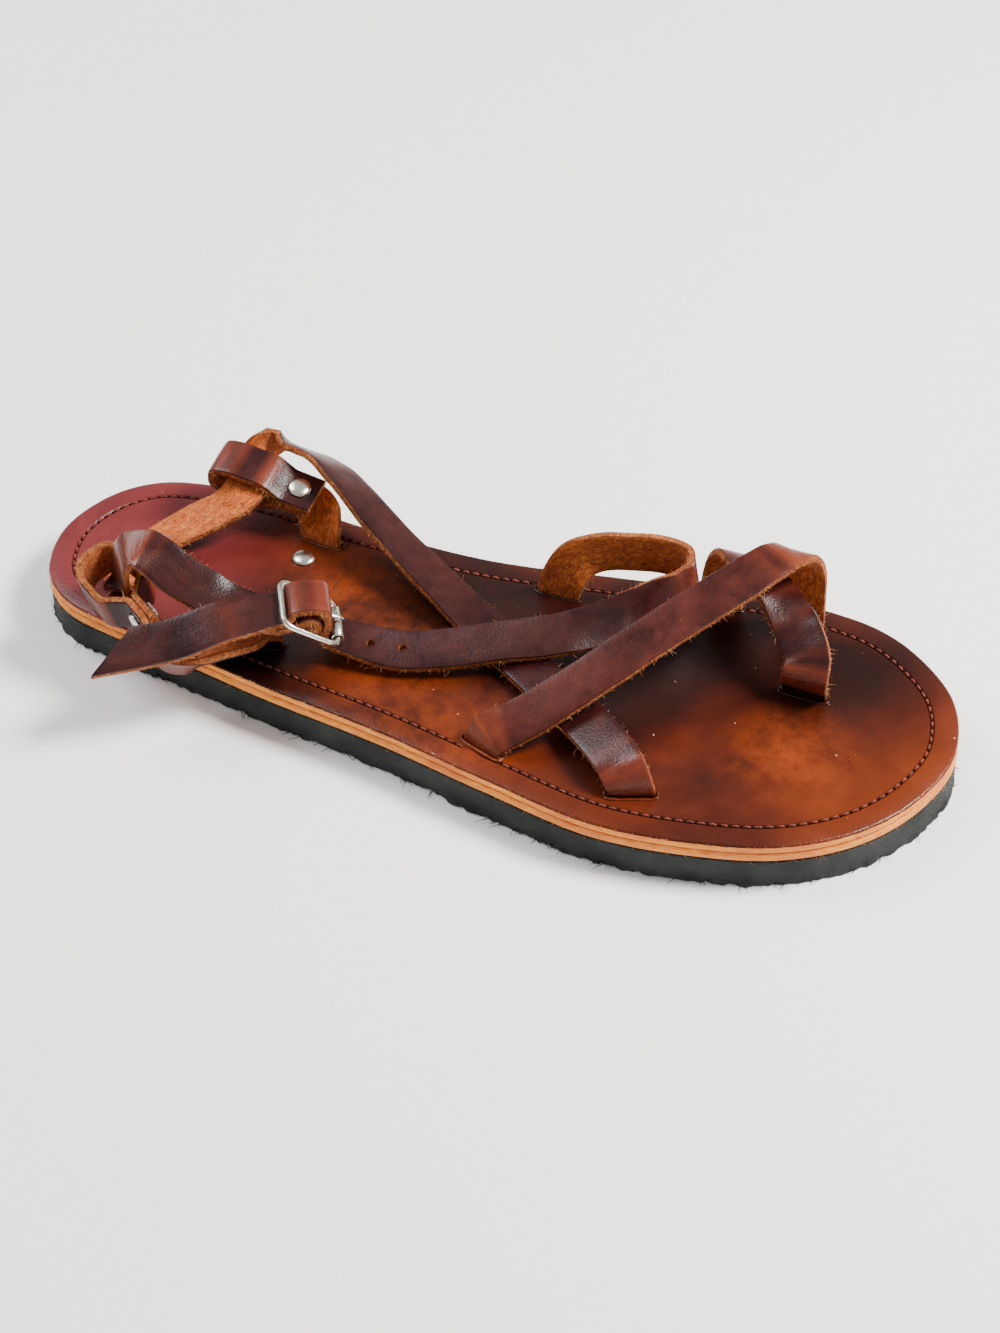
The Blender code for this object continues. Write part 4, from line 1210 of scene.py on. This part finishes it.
def strap_grain(name, dark, light, pulled):
    """Oiled grain: mottled, finely pored, lighter where a bend pulls it and creased inside one."""
    made, tree, shader = finish_base(name, 0.36, 0.30)
    place = coordinate(tree, "UV")
    cloud = noise_node(tree, place, 75.0, 5.0, 0.62, 0.5)
    fine = noise_node(tree, place, 1500.0, 4.0, 0.6)
    streak = noise_node(tree, coordinate(tree, "UV", (0.35, 1, 1)), 420.0, 5.0, 0.6, 0.8)
    pores = pore_node(tree, place, 1500.0)
    colour = ramp_node(tree, cloud, ((0.32, dark), (0.70, light)))
    worn = ramp_node(tree, streak, ((0.35, (0.78, 0.74, 0.74, 1)), (0.66, (1.16, 1.12, 1.1, 1))))
    colour = mix_node(tree, 0.8, colour, worn, "MULTIPLY")
    bend = tree.nodes.new("ShaderNodeAttribute")
    bend.attribute_name = "bend"
    stretched = mask_node(tree, bend.outputs["Fac"], 0.10, 0.85)
    stretched = times(tree, stretched, sum_node(tree, "ADD", cloud, 0.25))
    colour = mix_node(tree, stretched, colour, pulled)
    scuffs = mask_node(tree, streak, 0.66, 0.72)
    colour = mix_node(tree, times(tree, scuffs, 0.35), colour, pulled)
    specks = mask_node(tree, noise_node(tree, place, 640.0, 2.0, 0.5), 0.775, 0.79)
    colour = mix_node(tree, times(tree, specks, 0.4), colour, tint(200, 150, 120))
    tree.links.new(range_node(tree, cloud, 0.24, 0.40, 0.3, 0.7), shader.inputs["Roughness"])
    creases = noise_node(tree, coordinate(tree, "UV", (1, 0.16, 1)), 900.0, 3.0, 0.5, 0.4)
    squeezed = times(tree, sum_node(tree, "ABSOLUTE", bend.outputs["Fac"], 0.0), creases)
    relief = weighted(tree, (pores, 0.5), (fine, 0.7), (cloud, 1.8), (squeezed, 2.2))
    surface(tree, shader, colour, relief, 0.00026, 0.34)
    return made


oiled_brown = strap_grain("oiled_brown_grain", tint(28, 6, 8), tint(56, 16, 13), tint(108, 44, 26))
russet_brown = strap_grain("russet_grain", tint(40, 10, 8), tint(74, 24, 15), tint(124, 56, 32))

suede, tree, shader = finish_base("fibrous_suede", 0.95, 0.15)
shader.inputs["Sheen Weight"].default_value = 0.12
place = coordinate(tree, "UV")
nap = noise_node(tree, coordinate(tree, "UV", (0.6, 1, 1)), 760.0, 6.0, 0.72, 1.2)
cloud = noise_node(tree, place, 110.0, 4.0, 0.6)
SUEDE_TONES = ((0.30, tint(100, 38, 10)), (0.50, tint(196, 94, 28)), (0.72, tint(238, 150, 76)))
tone = ramp_node(tree, nap, SUEDE_TONES)
shade = ramp_node(tree, cloud, ((0.3, (0.72, 0.66, 0.62, 1)), (0.7, (1.1, 1.05, 1.0, 1))))
surface(tree, shader, mix_node(tree, 0.8, tone, shade, "MULTIPLY"), nap, 0.0013)

strap_edge, tree, shader = finish_base("strap_cut_edge", 0.85, 0.2)
place = coordinate(tree)
tufts = noise_node(tree, place, 900.0, 5.0, 0.7)
patches = noise_node(tree, place, 140.0, 3.0)
EDGE_TONES = ((0.30, tint(92, 38, 20)), (0.52, tint(158, 88, 46)), (0.75, tint(206, 138, 84)))
tone = ramp_node(tree, tufts, EDGE_TONES)
stain = ramp_node(tree, patches, ((0.35, (0.55, 0.48, 0.45, 1)), (0.65, grey(1))))
surface(tree, shader, mix_node(tree, 0.8, tone, stain, "MULTIPLY"), tufts, 0.0008)

brown_strap = [oiled_brown, suede, strap_edge]
russet_strap = [russet_brown, suede, strap_edge]
toe_rows = slot_end("toe_front") + rows_of(TOE_STRAP) + slot_end("toe_rear")[::-1]
cross_rows = slot_end("cross_inner") + rows_of(CROSS_STRAP) + slot_end("cross_outer")[::-1]
inner_rows = slot_end("heel_inner") + rows_of(HEEL_INNER) + loop_rows(INNER_LOOP)
outer_rows = slot_end("heel_outer") + rows_of(HEEL_OUTER) + loop_rows(OUTER_LOOP)
toe_strip = leather_strip("toe_strip", "toe_strap", toe_rows, brown_strap)
cross_strip = leather_strip("cross_strip", "cross_strap", cross_rows, russet_strap)
instep_strip = leather_strip("instep_strip", "instep_strap", instep_rows(), brown_strap, -TAIL_CUT)
ankle_strip = leather_strip("ankle_strip", "ankle_strap", ankle_rows(), brown_strap)
inner_loop_strip = leather_strip("inner_heel_loop", "heel_upright_medial", inner_rows, brown_strap)
outer_loop_strip = leather_strip("outer_heel_loop", "heel_upright_lateral", outer_rows, brown_strap)


def standing(place, axis):
    """The matrix that sets an upright piece on its place, along the axis."""
    turned = axis.to_track_quat("Z", "Y").to_matrix().to_4x4()
    turned.translation = place
    return turned


def punch_strip(strip, place, axis, diameter):
    """Punches a round hole through a strip, along the axis."""
    bpy.ops.mesh.primitive_cylinder_add(vertices=32, radius=diameter / 2, depth=4 * STRAP_THICKNESS)
    tool = bpy.context.active_object
    tool.matrix_world = standing(place, axis)
    tool.data.materials.append(strap_edge)
    cut_away(strip, tool)


def slit_strip(strip, slit):
    """Cuts a slit that the prong stands in, given in the buckle's own plane."""
    origin, toward, across, up = buckle_frame_axes()
    behind, ahead, below, above = (share * WRAP_RADIUS for share in slit)
    middle = origin + toward * (behind + ahead) / 2 + up * (below + above) / 2
    bpy.ops.mesh.primitive_cube_add(size=1.0)
    tool = bpy.context.active_object
    size = (ahead - behind, PRONG_WIDTH + 2 * GAP, above - below)
    tool.data.transform(Matrix.Diagonal((*size, 1.0)))
    tool.matrix_world = frame_matrix(middle, toward, across, up)
    tool.data.materials.append(strap_edge)
    cut_away(strip, tool)


for hole in STRAP_HOLES:
    place, grain_side = at_fold(hole)
    punch_strip(instep_strip, place, grain_side, HOLE_DIAMETER)
slit_strip(instep_strip, TIP_SLIT)
slit_strip(ankle_strip, FOLD_SLIT)
for strip, loop in ((inner_loop_strip, INNER_LOOP), (outer_loop_strip, OUTER_LOOP)):
    seat, _, loop_facing = loop_frame(loop)
    punch_strip(strip, seat, loop_facing, RIVET_SHANK + 2 * GAP)
for strip in (toe_strip, cross_strip, instep_strip, ankle_strip, inner_loop_strip, outer_loop_strip):
    smooth(strip, STRAP_CREASE)

# Loose fibres of the raw leather: fine tan hairs that stand out along the strap edges, from the
# straps' suede and along the cut edge of the footbed and midsole.
FIBRE_RADIUS = 0.000045
NAP_RADIUS = 0.000050
FIBRES_PER_STATION = 3
NAP_PER_STATION = 5
SOLE_FIBRES = 1500
loose_fibre = mottled("loose_fibre", 0.9, 0.2, 300.0, tint(176, 96, 52), tint(232, 176, 122))[0]
chance = random.Random(23)


def curled(most):
    """A random curl, up to most in each direction."""
    return Vector([chance.uniform(-most, most) for _ in range(3)])


hairs = []
for stations in strap_edges:
    for _ in range(len(stations) * FIBRES_PER_STATION):
        place, run, face = stations[chance.randrange(len(stations))]
        across = run.cross(face)
        side = chance.choice((-1, 1))
        level = chance.uniform(-1.0, 0.2)
        root = place + across * side * (STRAP_WIDTH / 2 - 0.0002) + face * level * STRAP_THICKNESS / 2
        aim = across * side + face * chance.uniform(-1.2, 0.6) + run * chance.uniform(-1.4, 1.4)
        curl = curled(0.8)
        length = chance.uniform(0.0004, 0.0013) * chance.choice((1, 1, 1.6))
        hairs.append((root, aim.normalized(), length, curl))
strands("strap_fibres", hairs, 3, FIBRE_RADIUS, loose_fibre)

hairs = []
for stations in strap_edges:
    for _ in range(len(stations) * NAP_PER_STATION):
        place, run, face = stations[chance.randrange(len(stations))]
        across = run.cross(face)
        root = place + across * chance.uniform(-0.95, 0.95) * STRAP_WIDTH / 2
        root -= face * STRAP_THICKNESS * 0.48
        aim = -face + across * chance.uniform(-1.2, 1.2) + run * chance.uniform(-1.2, 1.2)
        curl = curled(0.6)
        hairs.append((root, aim.normalized(), chance.uniform(0.0003, 0.0008), curl))
strands("suede_nap", hairs, 3, NAP_RADIUS, loose_fibre)

hairs = []
for _ in range(SOLE_FIBRES):
    index = chance.randrange(RIM_POINTS)
    outward = rim_outward[index]
    drift = Vector((-outward.y, outward.x, 0)) * chance.uniform(-1, 1)
    between = chance.uniform(MIDSOLE_LOW, FOOTBED)
    height = chance.choice((FOOTBED - 0.0004, MIDSOLE_HIGH, MIDSOLE_LOW + 0.0002, between))
    root = sole_rim[index] - outward * 0.0003 + Vector((0, 0, height))
    aim = (outward + drift + Vector((0, 0, chance.uniform(-0.8, 0.8)))).normalized()
    curl = curled(0.8)
    hairs.append((root, aim, chance.uniform(0.0004, 0.0015), curl))
strands("sole_edge_fibres", hairs, 3, FIBRE_RADIUS, loose_fibre)

# The buckle: nickel wire bent to a rounded frame with a bar across its middle, a rolled sleeve on
# the front wire and a tapered prong hooked round the middle bar.
nickel, tree, shader = finish_base("worn_nickel", 0.25, 0.5)
shader.inputs["Metallic"].default_value = 1.0
place = coordinate(tree)
dull = noise_node(tree, place, 260.0, 5.0, 0.65)
scratches = noise_node(tree, coordinate(tree, stretch=(1, 6, 3)), 900.0, 3.0, 0.6)
NICKEL_TONES = ((0.30, tint(186, 180, 166)), (0.50, tint(222, 218, 206)), (0.8, tint(236, 234, 226)))
tree.links.new(range_node(tree, dull, 0.28, 0.14), shader.inputs["Roughness"])
surface(tree, shader, ramp_node(tree, dull, NICKEL_TONES), scratches, 0.00008, 0.5)
METAL_CREASE = 50


def hardware(made, name, *nodes):
    """Names a metal piece, gives it its finish and body, and hides the nodes that it stands for."""
    made.name = name
    made.data.materials.clear()
    made.data.materials.append(nickel)
    smooth(made, METAL_CREASE)
    if nodes:
        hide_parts(*nodes)
    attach(made, "root")


buckle_origin, buckle_toward, buckle_across, buckle_up = buckle_frame_axes()
buckle_matrix = frame_matrix(buckle_origin, buckle_toward, buckle_across, buckle_up)
bpy.ops.mesh.primitive_plane_add(size=1.0)
wire = bpy.context.active_object
wire.data.transform(Matrix.Diagonal((2 * BAR_OFFSET, BUCKLE_WIDTH - BUCKLE_WIRE, 1, 1)))
bpy.ops.object.mode_set(mode="EDIT")
bpy.ops.mesh.select_all(action="SELECT")
bpy.ops.mesh.delete(type="ONLY_FACE")
bpy.ops.mesh.select_all(action="SELECT")
bpy.ops.mesh.bevel(offset=BUCKLE_CORNER, offset_type="OFFSET", segments=9, affect="VERTICES")
bpy.ops.object.mode_set(mode="OBJECT")
bpy.ops.object.convert(target="CURVE")
wire = bpy.context.active_object
wire.data.bevel_depth = BAR_RADIUS
wire.data.bevel_resolution = 6
bpy.ops.object.convert(target="MESH")
wire = bpy.context.active_object
wire.data.transform(buckle_matrix)
hardware(wire, "buckle_wire", "buckle_frame")

MIDDLE_BAR_SHARE = 0.94
bpy.ops.mesh.primitive_cylinder_add(
    vertices=ROUND_SIDES, radius=BAR_RADIUS * MIDDLE_BAR_SHARE, depth=BUCKLE_WIDTH - BUCKLE_WIRE
)
bar = bpy.context.active_object
bar.data.transform(Matrix.Rotation(math.pi / 2, 4, "X"))
bar.data.transform(buckle_matrix)
hardware(bar, "buckle_middle_bar")


LATHE_STEPS = 40


def turned_piece(name, profile, place, axis, closed=False):
    """A piece turned on a lathe from its (radius, height) profile and set on its place and axis."""
    count = len(profile)
    edges = [(index, index + 1) for index in range(count - 1)]
    if closed:
        edges.append((count - 1, 0))
    mesh = bpy.data.meshes.new(name)
    mesh.from_pydata([(radius, 0.0, height) for radius, height in profile], edges, [])
    made = bpy.data.objects.new(name, mesh)
    bpy.context.collection.objects.link(made)
    only(made)
    bpy.ops.object.mode_set(mode="EDIT")
    bpy.ops.mesh.select_all(action="SELECT")
    bpy.ops.mesh.spin(steps=LATHE_STEPS, angle=math.tau, center=(0, 0, 0), axis=(0, 0, 1))
    bpy.ops.mesh.select_all(action="SELECT")
    bpy.ops.mesh.remove_doubles(threshold=0.00001)
    bpy.ops.mesh.normals_make_consistent(inside=False)
    bpy.ops.object.mode_set(mode="OBJECT")
    made.data.transform(standing(place, axis))
    return made


roller_half = BUCKLE_WIDTH / 2 - BUCKLE_WIRE / 2 - BUCKLE_CORNER
roller_out = ROLLER_DIAMETER / 2
roller_in = BAR_RADIUS + GAP
LIP = 0.00025
roller_profile = (
    (roller_in, -roller_half),
    (roller_out - LIP, -roller_half),
    (roller_out, -roller_half + LIP),
    (roller_out, roller_half - LIP),
    (roller_out - LIP, roller_half),
    (roller_in, roller_half),
)
roller_middle = buckle_origin + buckle_toward * BAR_OFFSET
roller = turned_piece("roller", roller_profile, roller_middle, buckle_across, closed=True)
hardware(roller, "buckle_sleeve", "buckle_roller")

# The prong: a hook round the middle bar in steps of so many degrees, then out over the roller.
HOOK_ROWS = 13
HOOK_START = 318
HOOK_STEP = 21.3
prong_path = []
for step in range(HOOK_ROWS):
    turn = math.radians(HOOK_START - HOOK_STEP * step)
    reach = BAR_RADIUS + GAP + PRONG_DEPTH / 2
    prong_path.append((math.cos(turn) * reach, math.sin(turn) * reach, 1.0))
over_roller = ROLLER_DIAMETER / 2 + GAP + PRONG_DEPTH * 0.48
prong_path += [
    (BAR_OFFSET * 0.45, BAR_RADIUS + GAP + PRONG_DEPTH * 0.62, 1.0),
    (BAR_OFFSET * 0.72, over_roller - PRONG_DEPTH * 0.20, 0.95),
    (BAR_OFFSET * 0.92, over_roller, 0.85),
    (BAR_OFFSET * 1.06, over_roller - PRONG_DEPTH * 0.02, 0.66),
    (BAR_OFFSET * 1.12, over_roller - PRONG_DEPTH * 0.10, 0.40),
]
path = bpy.data.curves.new("prong_path", "CURVE")
path.dimensions = "3D"
path.bevel_depth = PRONG_DEPTH / 2
path.bevel_resolution = 6
path.use_fill_caps = True
line = path.splines.new("POLY")
line.points.add(len(prong_path) - 1)
for point, (toward, up, radius) in zip(line.points, prong_path):
    point.co = (toward, 0.0, up, 1.0)
    point.radius = radius
prong = bpy.data.objects.new("prong", path)
bpy.context.collection.objects.link(prong)
only(prong)
bpy.ops.object.convert(target="MESH")
prong = bpy.context.active_object
prong.data.transform(Matrix.Diagonal((1, PRONG_WIDTH / PRONG_DEPTH, 1, 1)))
prong.data.transform(buckle_matrix)
hardware(prong, "buckle_tongue", "buckle_prong")

# The rivets: turned nickel heads, softly domed with a thin flange. The two beside the heel slots
# hold the footbed, and the two through the heel loops have a second head on the back.
RIVET_HEAD_RADIUS = 0.00375
RIVET_HEAD_HEIGHT = 0.0014
RIVET_SHANK_DOWN = 0.0030
DOME_STEPS = 8
DOME_TURN = math.radians(84)
FLANGE = 0.00022
rivet_dome = [(0.0, RIVET_HEAD_HEIGHT)]
for step in range(1, DOME_STEPS + 1):
    turn = DOME_TURN * step / DOME_STEPS
    height = FLANGE + (RIVET_HEAD_HEIGHT - FLANGE) * math.cos(turn)
    rivet_dome.append((RIVET_HEAD_RADIUS * 0.97 * math.sin(turn), height))
rivet_dome += [(RIVET_HEAD_RADIUS, FLANGE), (RIVET_HEAD_RADIUS, 0.0)]
one_head = rivet_dome + [(RIVET_SHANK / 2, 0.0), (RIVET_SHANK / 2, -RIVET_SHANK_DOWN)]
one_head.append((0.0, -RIVET_SHANK_DOWN))
for name, seat in zip(("medial", "lateral"), FOOTBED_RIVETS):
    cap = turned_piece("cap", one_head, seat, Vector((0, 0, 1)))
    hardware(cap, "heel_rivet_" + name, "footbed_rivet_" + name)
reach_down = 2 * STRAP_THICKNESS + 3 * GAP
two_heads = rivet_dome + [(RIVET_SHANK / 2, 0.0), (RIVET_SHANK / 2, -reach_down)]
two_heads += [(radius, -reach_down - height) for radius, height in reversed(rivet_dome)]
for name, loop in (("medial", INNER_LOOP), ("lateral", OUTER_LOOP)):
    seat, _, loop_facing = loop_frame(loop)
    seat = seat + loop_facing * ((LAYER_PITCH + STRAP_THICKNESS) / 2 + GAP)
    cap = turned_piece("cap", two_heads, seat, loop_facing)
    hardware(cap, "strap_rivet_" + name, "loop_rivet_" + name)
